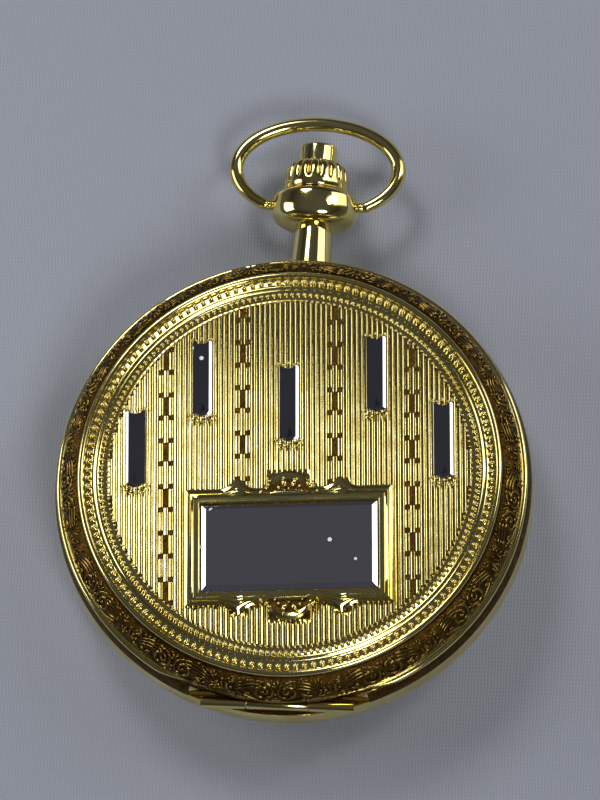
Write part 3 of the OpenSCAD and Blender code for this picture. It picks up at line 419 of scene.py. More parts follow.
def make_finishes(colors):
    """All materials of the watch."""
    handling_group()
    # Slot or use, name, bright tone, deep tone, least and most roughness, scale of the marks, depth of the hairlines
    for key, name, bright, deep, smooth, dull, scale, relief in (
            ("gold", "Polished gold tone", colors.gold, colors.gold_deep, 0.07, 0.16, 0.8, 0.015),
            ("gold_rib", "Stamped gold tone", colors.gold, colors.gold_deep, 0.08, 0.18, 2.6, 0.05),
            # Scroll tones darkened as painted shade
            ("gold_scroll", "Scroll gold, darkened as painted shade", colors.scroll, colors.scroll_deep, 0.1, 0.2, 2.0, 0.05),
            # Antiqued ground and painted shade in recesses, gaps, the seam and the hinge bed
            ("gold_ground", "Antiqued ground and painted shade", colors.ground, colors.ground_deep, 0.22, 0.4, 6.0, 0.4),
            ("train_brass", "Wheel brass", colors.brass, linear(196, 158, 84), 0.14, 0.28, 2.0, 0.04),
            ("steel", "Polished steel", colors.steel, linear(170, 173, 180), 0.12, 0.26, 2.0, 0.04),
            ("blued_steel", "Blued steel", colors.blued_steel, linear(20, 30, 92), 0.1, 0.2, 2.0, 0.02)):
        FINISH[key] = metal(name, opaque(bright), opaque(deep), smooth, dull, scale, relief)
    FINISH["silver"] = mirror_silver("Mirror silver", opaque(colors.plate))
    FINISH["ribbon"] = mirror_silver("Dark mirror ribbon", opaque(colors.ribbon))
    FINISH["glass"] = glass("Clear crystal")
    FINISH["movement_brass"] = striped_metal("Striped gilt plate", opaque(colors.gilt), linear(204, 174, 110), 0.0016)
    for key, name, first, second, scale, detail, plain in (
            ("dial", "White enamel", colors.enamel, linear(236, 232, 220), 160.0, 3.0,
             {"Roughness": 0.22, "Coat Weight": 0.5}),
            ("ink", "Dial ink", colors.ink, linear(34, 33, 36), 3000.0, 2.0, {"Roughness": 0.45}),
            ("jewel", "Ruby", colors.jewel, linear(140, 10, 36), 900.0, 2.0,
             {"Roughness": 0.06, "Coat Weight": 0.6})):
        FINISH[key] = clouded(name, opaque(first), second, scale, detail, plain)


# Cover

BORDER_CURVE = ((22.5, 9.25), (22.25, 10.9), (20.75, 11.65))
LIP_LOW = 9.36
LIP_CUT_HALF = 11.8
LIP_CUT_R = 23.05
LIP_CUT_DEPTH = 0.53
LIP_CUT_RAMP = 2.6
HINGE_HALF = 7.6
HINGE_CLEAR = 0.66
KNUCKLE_HALF = 3.05
SHELL_STEPS = 288
# Steps and wall of the ring of painted shadow in the seam; heights of the hinge bed's painted shade
SEAM_STEPS = 264
SEAM_WALL = (0.09, 0.05)
HINGE_SHADE_BED = (7.28, 7.33)


def border_point(v):
    """Radius, height and outward normal of the scroll border; v runs from its low edge to its high edge."""
    rows = list(zip(*BORDER_CURVE))
    r, z = ((1 - v) ** 2 * a + 2 * v * (1 - v) * b + v * v * c for a, b, c in rows)
    dr, dz = (2 * (1 - v) * (b - a) + 2 * v * (c - b) for a, b, c in rows)
    size = math.hypot(dr, dz)
    return r, z, dz / size, -dr / size


def on_border(u, v, lift):
    """A place on the border: u in radians round the lid, v across it, lift above it."""
    r, z, nr, nz = border_point(v)
    r, z = r + nr * lift, z + nz * lift
    return r * math.sin(u), -r * math.cos(u), z


def cover_profile():
    """Half section of the lid from the middle of its top round the lip to the middle of its inside."""
    dome = [(r, field_height(r) - FIELD_SINK) for r in (0.0, 3.0, 6.0, 9.0, 12.0, 14.5, 16.5, 17.6)]
    reeds = [(18.6 + 0.04 * i, CHANNEL_Z + 0.07 * abs(math.sin(math.pi * i / 10))) for i in range(21)]
    channel = [(17.75, CHANNEL_Z + 0.02), (17.9, CHANNEL_Z)] + reeds + [(20.07, CHANNEL_Z)]
    ring = round_arc(20.4, CHANNEL_Z, 0.33, 180, 0, 10)
    flank = [border_point(v)[:2] for v in (1.0, 0.9, 0.8, 0.7, 0.6, 0.5, 0.4, 0.3, 0.2, 0.1, 0.04)]
    lip = round_arc(22.53, 9.25, 0.1, 150, 0, 6) + [(22.64, 9.1)] + round_arc(22.74, 8.84, 0.31, 105, -90, 14)
    inside = [(21.55, 8.5), (21.55, 9.25)] + curve3((21.55, 9.25), (21.45, 10.35), (20.25, 11.05), 8)[1:]
    return dome + channel + ring + flank + lip + inside + [(17.4, 11.05), (9.0, 11.5), (0.0, 11.65)]


def clear_hinge(x, y, z):
    """Pulls the lid's lip in where the hinge stands, as on the solid."""
    if z < LIP_LOW and y < 0 and abs(x) < LIP_CUT_HALF:
        r = math.hypot(x, y)
        most = LIP_CUT_R - LIP_CUT_DEPTH * min(1.0, (LIP_CUT_HALF - abs(x)) / LIP_CUT_RAMP)
        if r > most:
            x, y = x * most / r, y * most / r
    reach = math.hypot(y - HINGE_Y, z - HINGE_Z)
    if reach < HINGE_CLEAR and abs(x) < HINGE_HALF:
        push = HINGE_CLEAR / reach
        y, z = HINGE_Y + (y - HINGE_Y) * push, HINGE_Z + (z - HINGE_Z) * push
    return x, y, z


def shell_ground(x, y, z):
    """Where the shell gets painted shade and antiquing: under the scrolls, the beads and the ribs, and beside the
    hinge.
    """
    r = math.hypot(x, y)
    knuckle = math.hypot(y - HINGE_Y, z - HINGE_Z) < 0.6 and abs(x) < 3.1
    beside_hinge = r > 21.0 and y < 0 and abs(x) < 9.2 and z < 9.05 and not knuckle
    return 20.7 < r < 22.45 and 9.3 < z < 11.7 or r < FIELD_R and z > 11.7 or beside_hinge


def build_cover_shell():
    """The lid's smooth shell and the middle knuckle of its hinge."""
    shell = revolve(cover_profile(), SHELL_STEPS, closed=False, bend=clear_hinge)
    ends = (-KNUCKLE_HALF, 0.1 - KNUCKLE_HALF, KNUCKLE_HALF - 0.1, KNUCKLE_HALF)
    knuckle = sweep([(x, HINGE_Y, HINGE_Z) for x in ends], [0.47, 0.55, 0.55, 0.47], 28)
    arm = box_mesh((-3.0, -22.55, 8.0), (3.0, -21.7, 8.8), 0.1)
    mesh_piece("cover_shell", joined([shell, knuckle, arm]), "gold", "cover", ("front_cover",), sharp=50,
               ground=shell_ground)


def build_seam():
    """A dark ring on the band's shoulder under the lid's lip as painted shadow in the seam, and the hinge's bed
    darkened as painted shade.
    """
    shoulder = [(22.7, 8.4), (22.82, 8.27), (22.95, 8.07), (23.09, 7.84), (23.2, 7.59), (23.33, 7.25)]
    profile = shoulder + [(r - SEAM_WALL[0], z - SEAM_WALL[1]) for r, z in reversed(shoulder)]
    gap = math.radians(22.3)
    verts = []
    for i in range(SEAM_STEPS + 1):
        turn = -TAU / 4 + gap + (TAU - 2 * gap) * i / SEAM_STEPS
        verts += [(r * math.cos(turn), r * math.sin(turn), z) for r, z in profile]
    across = [8.6 * i / 20 for i in range(-20, 21)]
    outline = [(x, -math.sqrt(23.2 ** 2 - x * x)) for x in across] + [(x, -21.45) for x in reversed(across)]
    seam = verts, tube(SEAM_STEPS + 1, len(profile))
    mesh_piece("case_seam_shadow", joined([seam, prism(outline, *HINGE_SHADE_BED)]), "gold_ground", "case", sharp=40)


# Ribs, chains and beads of the field

# Half width and half height of the parts of the plate's frame, and how far its peaks stand to the side
FRAME_BODY, FRAME_ARCH, FRAME_PEAK = (9.6, 5.4), (2.0, 7.1), (0.8, 6.3)
PEAK_X = 5.0
COLUMN_HALF = 0.74
COLUMN_FOOT = -13.2
COLUMN_DEPTH = 0.45
CHAIN_CELLS = 17
CHAIN_REACH = FIELD_R - 0.05


def repeat_points(tree, count, spacing, start):
    """A straight row of points for instances."""
    return geo(tree, "MeshLine", {"Count": count, "Start Location": start, "Offset": spacing})


def place_xyz(tree):
    """The position's three numbers."""
    return add(tree, "ShaderNodeSeparateXYZ", {0: geo(tree, "InputPosition")}).outputs


def vector(tree, x, y, z):
    """Three numbers as a vector."""
    return add(tree, "ShaderNodeCombineXYZ", {0: x, 1: y, 2: z}).outputs[0]


def chord(tree, radius, x):
    """Half the length of a circle's chord at x."""
    square = calc(tree, "MULTIPLY", radius, radius)
    return calc(tree, "SQRT", calc(tree, "SUBTRACT", square, calc(tree, "MULTIPLY", x, x)))


def near_column(tree, x):
    """1 where x is inside one of the four chain columns."""
    away = calc(tree, "ABSOLUTE", x)
    return calc(tree, "MAXIMUM", *(
        calc(tree, "LESS_THAN", calc(tree, "ABSOLUTE", calc(tree, "SUBTRACT", away, column * MM)), COLUMN_HALF * MM)
        for column in CHAIN_COLUMNS))


def in_frame(tree, x, y, grow):
    """1 inside the plate's frame, its middle arches and its peaks."""
    aside = calc(tree, "ABSOLUTE", x)
    along = calc(tree, "ABSOLUTE", calc(tree, "SUBTRACT", y, PLATE_Y * MM))
    beside_peak = calc(tree, "ABSOLUTE", calc(tree, "SUBTRACT", aside, PEAK_X * MM))
    found = 0.0
    for value, (width, height) in ((aside, FRAME_BODY), (aside, FRAME_ARCH), (beside_peak, FRAME_PEAK)):
        inside = calc(tree, "MULTIPLY", calc(tree, "LESS_THAN", value, (width + grow) * MM),
                      calc(tree, "LESS_THAN", along, (height + grow) * MM))
        found = calc(tree, "MAXIMUM", inside, found)
    return found


def on_dome(tree, x, y, z):
    """A height carried up onto the sunk field."""
    square = calc(tree, "ADD", calc(tree, "MULTIPLY", x, x), calc(tree, "MULTIPLY", y, y))
    share = calc(tree, "DIVIDE", square, (FIELD_R * MM) ** 2)
    rise = calc(tree, "MULTIPLY_ADD", share, -FIELD_RISE * MM, (FIELD_Z + FIELD_RISE - FIELD_SINK) * MM)
    return calc(tree, "ADD", rise, z)


def end_tree(tree, sink, geometry, material, turn=0.0):
    """Closes a tree: realized, turned with the ornament, smooth, with its material."""
    real = geo(tree, "RealizeInstances", {0: geometry})
    moved = geo(tree, "Transform", {"Geometry": real, "Rotation": (0, 0, turn)})
    smooth = geo(tree, "SetShadeSmooth", {"Geometry": moved})
    feed(tree, sink, {0: geo(tree, "SetMaterial", {"Geometry": smooth, "Material": material})})
    return tree


def rib_section():
    """Section of one rib, half a rib wide and one rib high: a long slope, a crest and a short slope."""
    edge = [(-1.0, -0.2), (-0.86, 0.06), (-0.2, 0.52), (0.18, 0.785), (0.42, 0.93), (0.58, 0.86), (0.78, 0.4),
            (1.0, -0.3), (0.6, -0.7), (-0.6, -0.7)]
    return [(x, -y, 0.0) for x, y in edge], [tuple(range(len(edge)))]


def section_bar(tree, section, line, width, height):
    """The rib's section, a mesh in millimetres, drawn along a line."""
    scale = vector(tree, calc(tree, "MULTIPLY", width, 0.5 / MM), calc(tree, "MULTIPLY", height, 1 / MM), 1.0)
    edge = geo(tree, "Transform", {"Geometry": geo(tree, "MeshToCurve", {0: section}), "Scale": scale})
    return geo(tree, "CurveToMesh", {"Curve": line, "Profile Curve": edge, "Fill Caps": True})


def rib_tree(material):
    """Leaning ribs side by side over the domed field, sunk at the chain columns; the input mesh is their section."""
    tree, source, sink = geometry_tree("Ribbed field", [
        ("Geometry", "Geometry", None), ("Pitch", "Float", 0.0005), ("Width", "Float", 0.00047),
        ("Height", "Float", 0.000108), ("Radius", "Float", 0.0176), ("Ribs", "Int", 71), ("Wobble", "Float", 0.000006)])
    pitch, count = source["Pitch"], source["Ribs"]
    first = calc(tree, "MULTIPLY", calc(tree, "SUBTRACT", count, 1.0), calc(tree, "MULTIPLY", pitch, -0.5))
    row = repeat_points(tree, count, vector(tree, pitch, 0.0, 0.0), vector(tree, first, 0.0, 0.0))
    line = geo(tree, "CurvePrimitiveLine", {"Start": (0, -1, 0), "End": (0, 1, 0)})
    line = geo(tree, "ResampleCurve", {"Curve": line, "Count": 72})
    bar = section_bar(tree, source["Geometry"], line, source["Width"], source["Height"])
    long = chord(tree, source["Radius"], place_xyz(tree)[0])
    ribs = geo(tree, "InstanceOnPoints", {"Points": row, "Instance": bar, "Scale": vector(tree, 1.0, long, 1.0)})
    ribs = geo(tree, "RealizeInstances", {0: ribs})
    x, y, z = place_xyz(tree)
    column = calc(tree, "MULTIPLY", near_column(tree, x), calc(tree, "GREATER_THAN", y, COLUMN_FOOT * MM))
    sunk = calc(tree, "MAXIMUM", in_frame(tree, x, y, 0.0), column)
    level = calc(tree, "MULTIPLY_ADD", sunk, -COLUMN_DEPTH * MM, on_dome(tree, x, y, z))
    rough = add(tree, "ShaderNodeTexNoise", {"Vector": geo(tree, "InputPosition"), "Scale": 1500.0, "Detail": 1.0})
    shake = add(tree, "ShaderNodeVectorMath", {0: rough.outputs["Color"], 1: (0.5, 0.5, 0.5)}, operation="SUBTRACT")
    shake = add(tree, "ShaderNodeVectorMath", {0: shake.outputs[0], "Scale": source["Wobble"]}, operation="SCALE")
    ribs = geo(tree, "SetPosition", {"Geometry": ribs, "Position": vector(tree, x, y, level),
                                     "Offset": shake.outputs[0]})
    return end_tree(tree, sink, ribs, material, COVER_TURN)


def chain_tree(material):
    """One chain column: broken outer ribs in every cell and a middle dash in every second cell."""
    tree, source, sink = geometry_tree("Chain column", [
        ("Geometry", "Geometry", None), ("Column", "Float", 0.0), ("Cell", "Float", 0.00236),
        ("Side", "Float", 0.0005), ("Shift", "Float", 0.0), ("Height", "Float", 0.000112)])
    cell, side = source["Cell"], source["Side"]
    start = calc(tree, "MULTIPLY_ADD", cell, -(CHAIN_CELLS // 2), source["Shift"])
    dashes = add(tree, "GeometryNodeJoinGeometry")
    for offset, length, every_second in ((-1.0, 0.38, False), (1.0, 0.38, False), (0.0, 0.58, True)):
        x = calc(tree, "MULTIPLY_ADD", side, offset, source["Column"])
        row = repeat_points(tree, CHAIN_CELLS, vector(tree, 0.0, cell, 0.0), vector(tree, x, start, 0.0))
        px, py, _ = place_xyz(tree)
        far = add(tree, "ShaderNodeVectorMath", {0: geo(tree, "InputPosition")}, operation="LENGTH").outputs["Value"]
        gone = calc(tree, "MAXIMUM", calc(tree, "GREATER_THAN", far, (FIELD_R + 0.6) * MM),
                    in_frame(tree, px, py, 0.2))
        if every_second:
            gone = calc(tree, "MAXIMUM", gone, calc(tree, "MODULO", geo(tree, "InputIndex"), 2.0))
        row = geo(tree, "DeleteGeometry", {"Geometry": row, "Selection": gone})
        reach = calc(tree, "MULTIPLY", cell, length)
        line = geo(tree, "CurvePrimitiveLine", {
            "Start": vector(tree, 0.0, calc(tree, "MULTIPLY", reach, -1.0), 0.0),
            "End": vector(tree, 0.0, reach, 0.0)})
        bar = section_bar(tree, source["Geometry"], line, calc(tree, "MULTIPLY", side, 0.92), source["Height"])
        feed(tree, dashes, {0: geo(tree, "InstanceOnPoints", {"Points": row, "Instance": bar})})
    real = geo(tree, "RealizeInstances", {0: dashes.outputs[0]})
    x, y, z = place_xyz(tree)
    end = chord(tree, CHAIN_REACH * MM, x)
    y = calc(tree, "MAXIMUM", calc(tree, "MINIMUM", y, end), calc(tree, "MULTIPLY", end, -1.0))
    placed = geo(tree, "SetPosition", {"Geometry": real, "Position": vector(tree, x, y, on_dome(tree, x, y, z))})
    return end_tree(tree, sink, placed, material, COVER_TURN)


def bead_tree(material):
    """A ring of beads, each a ball."""
    tree, source, sink = geometry_tree("Bead row", [
        ("Beads", "Int", 145), ("Row radius", "Float", 0.0197), ("Bead", "Float", 0.00028), ("Level", "Float", 0.0118)])
    ring = geo(tree, "MeshCircle", {"Vertices": source["Beads"], "Radius": source["Row radius"]})
    bead = geo(tree, "MeshUVSphere", {"Segments": 9, "Rings": 6, "Radius": source["Bead"]})
    placed = geo(tree, "InstanceOnPoints", {"Points": ring, "Instance": bead})
    raised = geo(tree, "Transform", {"Geometry": placed, "Translation": vector(tree, 0.0, 0.0, source["Level"])})
    return end_tree(tree, sink, raised, material)


def build_ribs(sizes):
    """The leaning ribs of the lid's field."""
    values = {"Pitch": sizes.rib_pitch, "Width": sizes.rib_width, "Height": sizes.rib_height, "Ribs": sizes.ribs}
    tree_piece("cover_ribs", rib_tree(FINISH["gold_rib"]), values, "cover", seed=rib_section())


def build_chains(sizes):
    """The four chain columns of the lid's field."""
    chains = chain_tree(FINISH["gold_rib"])
    near, wide = CHAIN_COLUMNS
    for name, column, shift in (("a", -wide, 0.0), ("b", -near, 0.5), ("c", near, 0.0), ("d", wide, -0.4)):
        values = {"Column": column * MM, "Shift": shift * MM, "Cell": sizes.chain_cell, "Side": sizes.rib_pitch,
                  "Height": sizes.dash_height}
        tree_piece("cover_chain_" + name, chains, values, "cover", seed=rib_section())


def build_beads(sizes):
    """The three bead rows round the lid's field."""
    beads = bead_tree(FINISH["gold"])
    for name, count, row, size, level in (("outer", sizes.outer_beads, 19.7, sizes.outer_bead, 11.84),
                                          ("inner", sizes.inner_beads, 18.35, sizes.inner_bead, 11.83),
                                          ("edge", sizes.edge_beads, 17.72, sizes.edge_bead, 11.86)):
        values = {"Beads": count, "Row radius": row * MM, "Bead": size, "Level": level * MM}
        tree_piece("cover_beads_" + name, beads, values, "cover")


# Relief of the cover

BORDER_LENGTH = 3.15
BORDER_R = 21.8
STROKE_UP = Vector((0, -math.cos(0.9), math.sin(0.9)))

# Leaf fans of half a motif: place along and across the border, lean, spread, leaf's length and width
HALF_FANS = ((2.6, 1.3, -1.0, 1.4, 0.75, 0.11), (4.1, 2.2, 0.8, 1.5, 0.7, 0.12), (4.0, 0.9, -0.6, 1.6, 0.7, 0.12))


def border_place(along, across, lift):
    """A place on the border from lengths along and across it, in millimetres."""
    return on_border(along / BORDER_R, across / BORDER_LENGTH, lift)


def border_stroke(points, width, lift=0.03, sides=6):
    """A tapered stroke on the border. points are (along, across) in millimetres, width the thickest radius."""
    last = len(points) - 1
    radii = [width * (0.35 + 0.65 * math.sin(math.pi * (0.12 + 0.76 * i / last))) for i in range(last + 1)]
    return sweep([border_place(a, b, lift) for a, b in points], radii, sides, STROKE_UP)


def volute(along, across, size, start, turns, hand, width):
    """A spiral stroke that curls in to a berry."""
    steps = int(14 * turns)
    points = []
    for i in range(steps + 1):
        t = i / steps
        radius = size * (1 - t) ** 0.8 + 0.2 * t
        angle = start + hand * TAU * turns * t
        points.append((along + radius * math.cos(angle), across + radius * math.sin(angle)))
    return [border_stroke(points, width), ball(border_place(along, across, 0.06), 0.17)]


def leaf_fan(along, across, heading, spread, count, length, width):
    """Leaf strokes that fan from one place."""
    parts = []
    for i in range(count):
        share = i / (count - 1) - 0.5
        angle, size = heading + spread * share, length * (1 - 0.25 * abs(share))
        curve = [(along + size * t * math.cos(angle + 0.5 * t), across + size * t * math.sin(angle + 0.5 * t))
                 for t in (0.0, 0.25, 0.5, 0.75, 1.0)]
        parts.append(border_stroke(curve, width, 0.04, 5))
    return parts


def berries(places, radius):
    """Single berries on the border."""
    return [ball(border_place(a, b, 0.04), radius) for a, b in places]


def scroll_half(side):
    """Half of one length of the border: a volute that runs out into leaf lines, with berries and leaves beyond."""
    parts = volute(side * 1.2, 1.55, 1.1, math.pi * (0.5 - side * 0.1), 1.55, side, 0.17)
    for rise, tip, width in ((2.72, 2.1, 0.14), (2.35, 1.75, 0.12), (2.0, 1.4, 0.1)):
        parts.append(border_stroke([(side * x, rise + (tip - rise) * t + 0.2 * math.sin(math.pi * t)) for x, t in (
            (1.3, 0.0), (2.0, 0.25), (2.7, 0.5), (3.3, 0.75), (3.9, 1.0))], width))
    low_line = ((0.4, 0.4), (1.2, 0.25), (2.2, 0.4), (3.0, 0.8), (3.6, 1.1))
    parts.append(border_stroke([(side * x, y) for x, y in low_line], 0.12))
    heading = 0.0 if side > 0 else math.pi
    for along, across, lean, spread, reach, width in HALF_FANS:
        parts += leaf_fan(side * along, across, heading + side * lean, spread, 3, reach, width)
    return parts + berries([(side * x, y) for x, y in (
        (4.35, 1.5), (4.75, 1.75), (4.7, 1.25), (2.6, 2.9), (3.1, 2.75), (3.3, 0.4), (2.9, 0.3), (3.6, 2.65))], 0.15)


def scroll_motif():
    """One length of the scroll border: two volutes back to back, a bud between them and a leaf crest beyond."""
    parts = scroll_half(1) + scroll_half(-1) + leaf_fan(0.0, 2.1, math.pi / 2, 1.7, 3, 0.85, 0.13)
    parts += berries([(0.0, 1.3), (0.0, 0.75), (5.25, 2.2)], 0.17)
    return joined(parts + leaf_fan(5.25, 1.0, math.pi / 2, 2.4, 4, 0.95, 0.11))


def round_tree(material):
    """Repeats the piece's own mesh round the Z axis."""
    tree, source, sink = geometry_tree("Repeat round", [
        ("Geometry", "Geometry", None), ("Count", "Int", 26), ("Middle", "Vector", None)])
    row = repeat_points(tree, source["Count"], (0, 0, 0), (0, 0, 0))
    turn = calc(tree, "MULTIPLY", calc(tree, "DIVIDE", geo(tree, "InputIndex"), source["Count"]), TAU)
    placed = geo(tree, "InstanceOnPoints", {"Points": row, "Instance": source["Geometry"],
                                            "Rotation": vector(tree, 0.0, 0.0, turn)})
    placed = geo(tree, "Transform", {"Geometry": placed, "Translation": source["Middle"]})
    return end_tree(tree, sink, placed, material)


def build_border(sizes):
    """Scroll border of the lid."""
    tree_piece("cover_scrolls", round_tree(FINISH["gold_scroll"]), {"Count": sizes.scrolls}, "cover",
               seed=scroll_motif())


PLATE_HALF = (8.75, 4.55)
ARCH_HALF = 2.0

# Section of the plate's frame: way out from the plate, height (None is the field), shares of the peaks and the arch
FRAME_SECTION = (
    (-0.1, 12.2, 0, 0), (0.0, 12.4, 0, 0), (0.06, 12.44, 0, 0), (0.42, 12.4, 0, 0), (0.5, 12.4, 0.1, 0),
    (0.56, 12.52, 0.25, 0.05), (0.68, 12.58, 0.3, 0.08), (0.8, 12.54, 0.35, 0.1), (0.9, 12.38, 0.45, 0.15),
    (1.0, 12.38, 0.6, 0.75), (1.08, 12.47, 0.85, 0.95), (1.2, 12.54, 1.0, 1.0), (1.34, 12.46, 1.05, 1.05),
    (1.42, None, 1.1, 1.08))

# Beads of the frame's middle ornament: place aside, way out from the plate, radius, stretch, turn
CARTOUCHE = (
    (-0.45, 1.75, 0.3, 1.5, 0.35), (0.5, 1.8, 0.3, 1.5, -0.35), (0.8, 2.15, 0.17, 1, 0), (-0.5, 2.3, 0.15, 1, 0),
    (-1.0, 1.35, 0.2, 1, 0), (1.05, 1.45, 0.18, 1, 0), (-1.95, 2.05, 0.16, 1, 0), (-1.95, 1.65, 0.17, 1, 0),
    (-2.2, 1.3, 0.19, 1, 0), (-2.75, 0.95, 0.17, 1, 0), (-1.35, 0.95, 0.16, 1, 0), (1.95, 1.65, 0.24, 1.2, 0.6),
    (2.3, 1.45, 0.22, 1.3, 0.3), (2.0, 2.05, 0.15, 1, 0), (1.3, 0.95, 0.15, 1, 0), (2.75, 0.95, 0.15, 1, 0),
    (0.0, 1.25, 0.14, 1, 0))


def frame_reach(x):
    """How far the frame's outer moulding swells out at a place along its top: two ogee peaks and a middle arch."""
    peak = max(0.0, 1 - abs(abs(x) - PEAK_X) / 1.8)
    arch = math.sqrt(1 - (x / ARCH_HALF) ** 2) if abs(x) < ARCH_HALF else 0.0
    return 1.05 * peak ** 1.8, 1.6 * arch


def frame_loops():
    """The frame's section at each place round the plate, corners mitred."""
    w, h = PLATE_HALF
    stations = []
    for side in (1, -1):
        stations.append((side * w, side * h, side, side, 0, 0))
        for x in (w - 2 * w * i / 96 for i in range(1, 96)):
            stations.append((side * x, side * h, 0, side) + frame_reach(x))
        stations.append((-side * w, side * h, -side, side, 0, 0))
        stations += [(-side * w, side * (h - 2 * h * i / 8), -side, 0, 0, 0) for i in range(1, 8)]
    verts = []
    for x, y, nx, ny, peak, arch in stations:
        for out, z, follow_peak, follow_arch in FRAME_SECTION:
            reach = out + peak * follow_peak + arch * follow_arch
            px, py = x + nx * reach, PLATE_Y + y + ny * reach
            field = field_height(px, py)
            if z is None:
                z = field - FIELD_SINK - 0.06
            elif out > 0.85:
                z += (field - 12.28) * 0.35
            verts.append(on_cover(px, py) + (z,))
    return verts, quads(len(stations), len(FRAME_SECTION))


def cartouche(side):
    """Beads of the frame's middle ornament; side is 1 at the top and -1 at the bottom."""
    parts = []
    for x, out, radius, stretch, turn in CARTOUCHE:
        spot = on_cover(x, PLATE_Y + side * (PLATE_HALF[1] + out)) + (12.36 + radius * 0.4,)
        parts.append(ball(spot, radius, (0.85, stretch, 0.9), COVER_TURN + side * turn, 9, 7))
    return parts


def frame_recess(x, y, z):
    """Where the frame's ground behind the beads of its middle arches is darkened as painted shade."""
    c, s = math.cos(COVER_TURN), math.sin(COVER_TURN)
    along, across = x * c + y * s, y * c - x * s
    out = abs(across - PLATE_Y) - PLATE_HALF[1]
    return abs(along) < 1.95 and 0.95 < out < 1.0 + 0.86 * frame_reach(along)[1] and 12.2 < z < 12.45


def build_frame():
    """Moulded frame of the engraving plate with its two middle ornaments."""
    mesh_piece("cover_frame", joined([frame_loops()] + cartouche(1) + cartouche(-1)), "gold", "cover", sharp=38,
               ground=frame_recess)


def build_plate():
    """Bevelled mirror plate in the frame."""
    w, h = PLATE_HALF
    steps = [(0.0, 12.0), (0.0, 12.1), (0.02, 12.115), (0.66, 12.4)]
    verts = [on_cover(sx * (w - inset), PLATE_Y + sy * (h - inset)) + (z,)
             for inset, z in steps for sx, sy in ((-1, -1), (1, -1), (1, 1), (-1, 1))]
    mesh_piece("cover_plate", (verts, tube(len(steps), 4)), "silver", "cover", ("engraving_plate",),
               smooth=False)


RIBBONS = ((-15.0, 2.85), (-8.5, 9.85), (0.0, 7.0), (8.5, 9.85), (15.0, 2.85))
RIBBON_EDGE = ((-0.95, -3.62), (-0.1, -3.98), (0.3, -3.98), (0.95, -3.62), (0.95, 4.0), (0.5, 3.72), (0.0, 3.6),
               (-0.5, 3.72), (-0.95, 4.0))
RIBBON_TOP = ((-0.9, -3.5), (-0.1, -3.85), (0.3, -3.85), (0.69, -3.5), (0.69, 3.82), (0.42, 3.64), (0.0, 3.54),
              (-0.42, 3.64), (-0.9, 3.9))
RIBBON_FOLD = ((0.05, -2.5, 0.117), (-0.15, -3.6, 0.117), (0.45, -3.5, 0.117), (0.4, -3.35, 0.29))


def ribbon(cx, cy, lit):
    """One mirror ribbon: notched top, cut tail, a wide bevel on its lit side and a folded facet by the tail."""
    base = field_height(cx, cy)
    count = len(RIBBON_EDGE)

    def put(x, y, lift):
        px, py = cx + x * lit, cy + y
        return on_cover(px, py) + (field_height(px, py) * 0.8 + base * 0.2 + lift,)

    body = [put(x, y, lift) for ring, lift in ((RIBBON_EDGE, -0.4), (RIBBON_EDGE, -0.01), (RIBBON_TOP, 0.115))
            for x, y in ring]
    tip, heel, toe, crest = range(4)
    fold = [(tip, crest, toe), (crest, heel, toe), (tip, heel, crest), (tip, toe, heel)]
    return joined([(body, tube(3, count)), ([put(*spot) for spot in RIBBON_FOLD], fold)])


def build_ribbons():
    """The five mirror ribbons; the leftmost has its bevel on the left."""
    shape = joined([ribbon(x, y, -1 if x < -10 else 1) for x, y in RIBBONS])
    mesh_piece("cover_ribbons", shape, "ribbon", "cover", ("ribbon_inlays",), smooth=False)


# Beads of a ribbon's trim: place, radius, stretch and turn. The pairs stand on both sides, the others in the middle.
TASSEL_PAIRS = ((0.95, 4.05, 0.18, 1.3, 0.5), (0.55, 3.95, 0.14, 1.2, -0.4), (0.8, -4.1, 0.24, 1.9, 0.9),
                (1.2, -3.85, 0.16, 1.3, 0.4), (0.45, -4.55, 0.19, 1.8, 0.35), (0.9, -4.55, 0.15, 1.5, 0.7))
TASSEL_MIDDLE = ((0.1, -4.15, 0.2, 1.0, 0.0), (0.0, 4.15, 0.14, 1.4, 0.0))


def tassel(cx, cy):
    """Gold trim of one ribbon: tufts at its top corners and a small bow under its tail."""
    row = [(side * x, y, radius, stretch, side * turn)
           for side in (-1, 1) for x, y, radius, stretch, turn in TASSEL_PAIRS]
    parts = []
    for x, y, radius, stretch, turn in row + list(TASSEL_MIDDLE):
        spot = on_cover(cx + x, cy + y) + (field_height(cx + x, cy + y) + 0.1,)
        parts.append(ball(spot, radius, (0.8, stretch, 0.7), COVER_TURN + turn, 7, 6))
    return joined(parts)


def build_tassels():
    """Gold trims of the ribbons."""
    mesh_piece("cover_tassels", joined([tassel(x, y) for x, y in RIBBONS]), "gold", "cover")


# Pendant, bow and crown

PIVOT_Y = 30.3
CROWN_LOW = 31.5
CROWN_TOP = 34.6
CROWN_R = 3.2
BORE_FLOOR = 33.3
BUTTON_TOP = 36.55
NECK_R = 2.4
# How much of the collar's swell is left from front to back
COLLAR_DEPTH = 0.58
BOW_HEIGHT = 8.7
BOW_HALF = 8.1
# Where the bow is widest, as a share of its height
BOW_WIDEST = 0.443
BOW_BUTT = 4.35
WIRE_R = 0.7
PIN_R = 0.44


def along_stem(profile, steps, shape=None):
    """A closed profile of (radius, height) turned about the winding axis."""
    verts = []
    for angle in (TAU * k / steps for k in range(steps)):
        for i, (radius, height) in enumerate(profile):
            r = shape(i, angle, radius) if shape else radius
            verts.append((r * math.cos(angle), height, STEM_Z + r * math.sin(angle)))
    return verts, quads(steps, len(profile), flip=True)


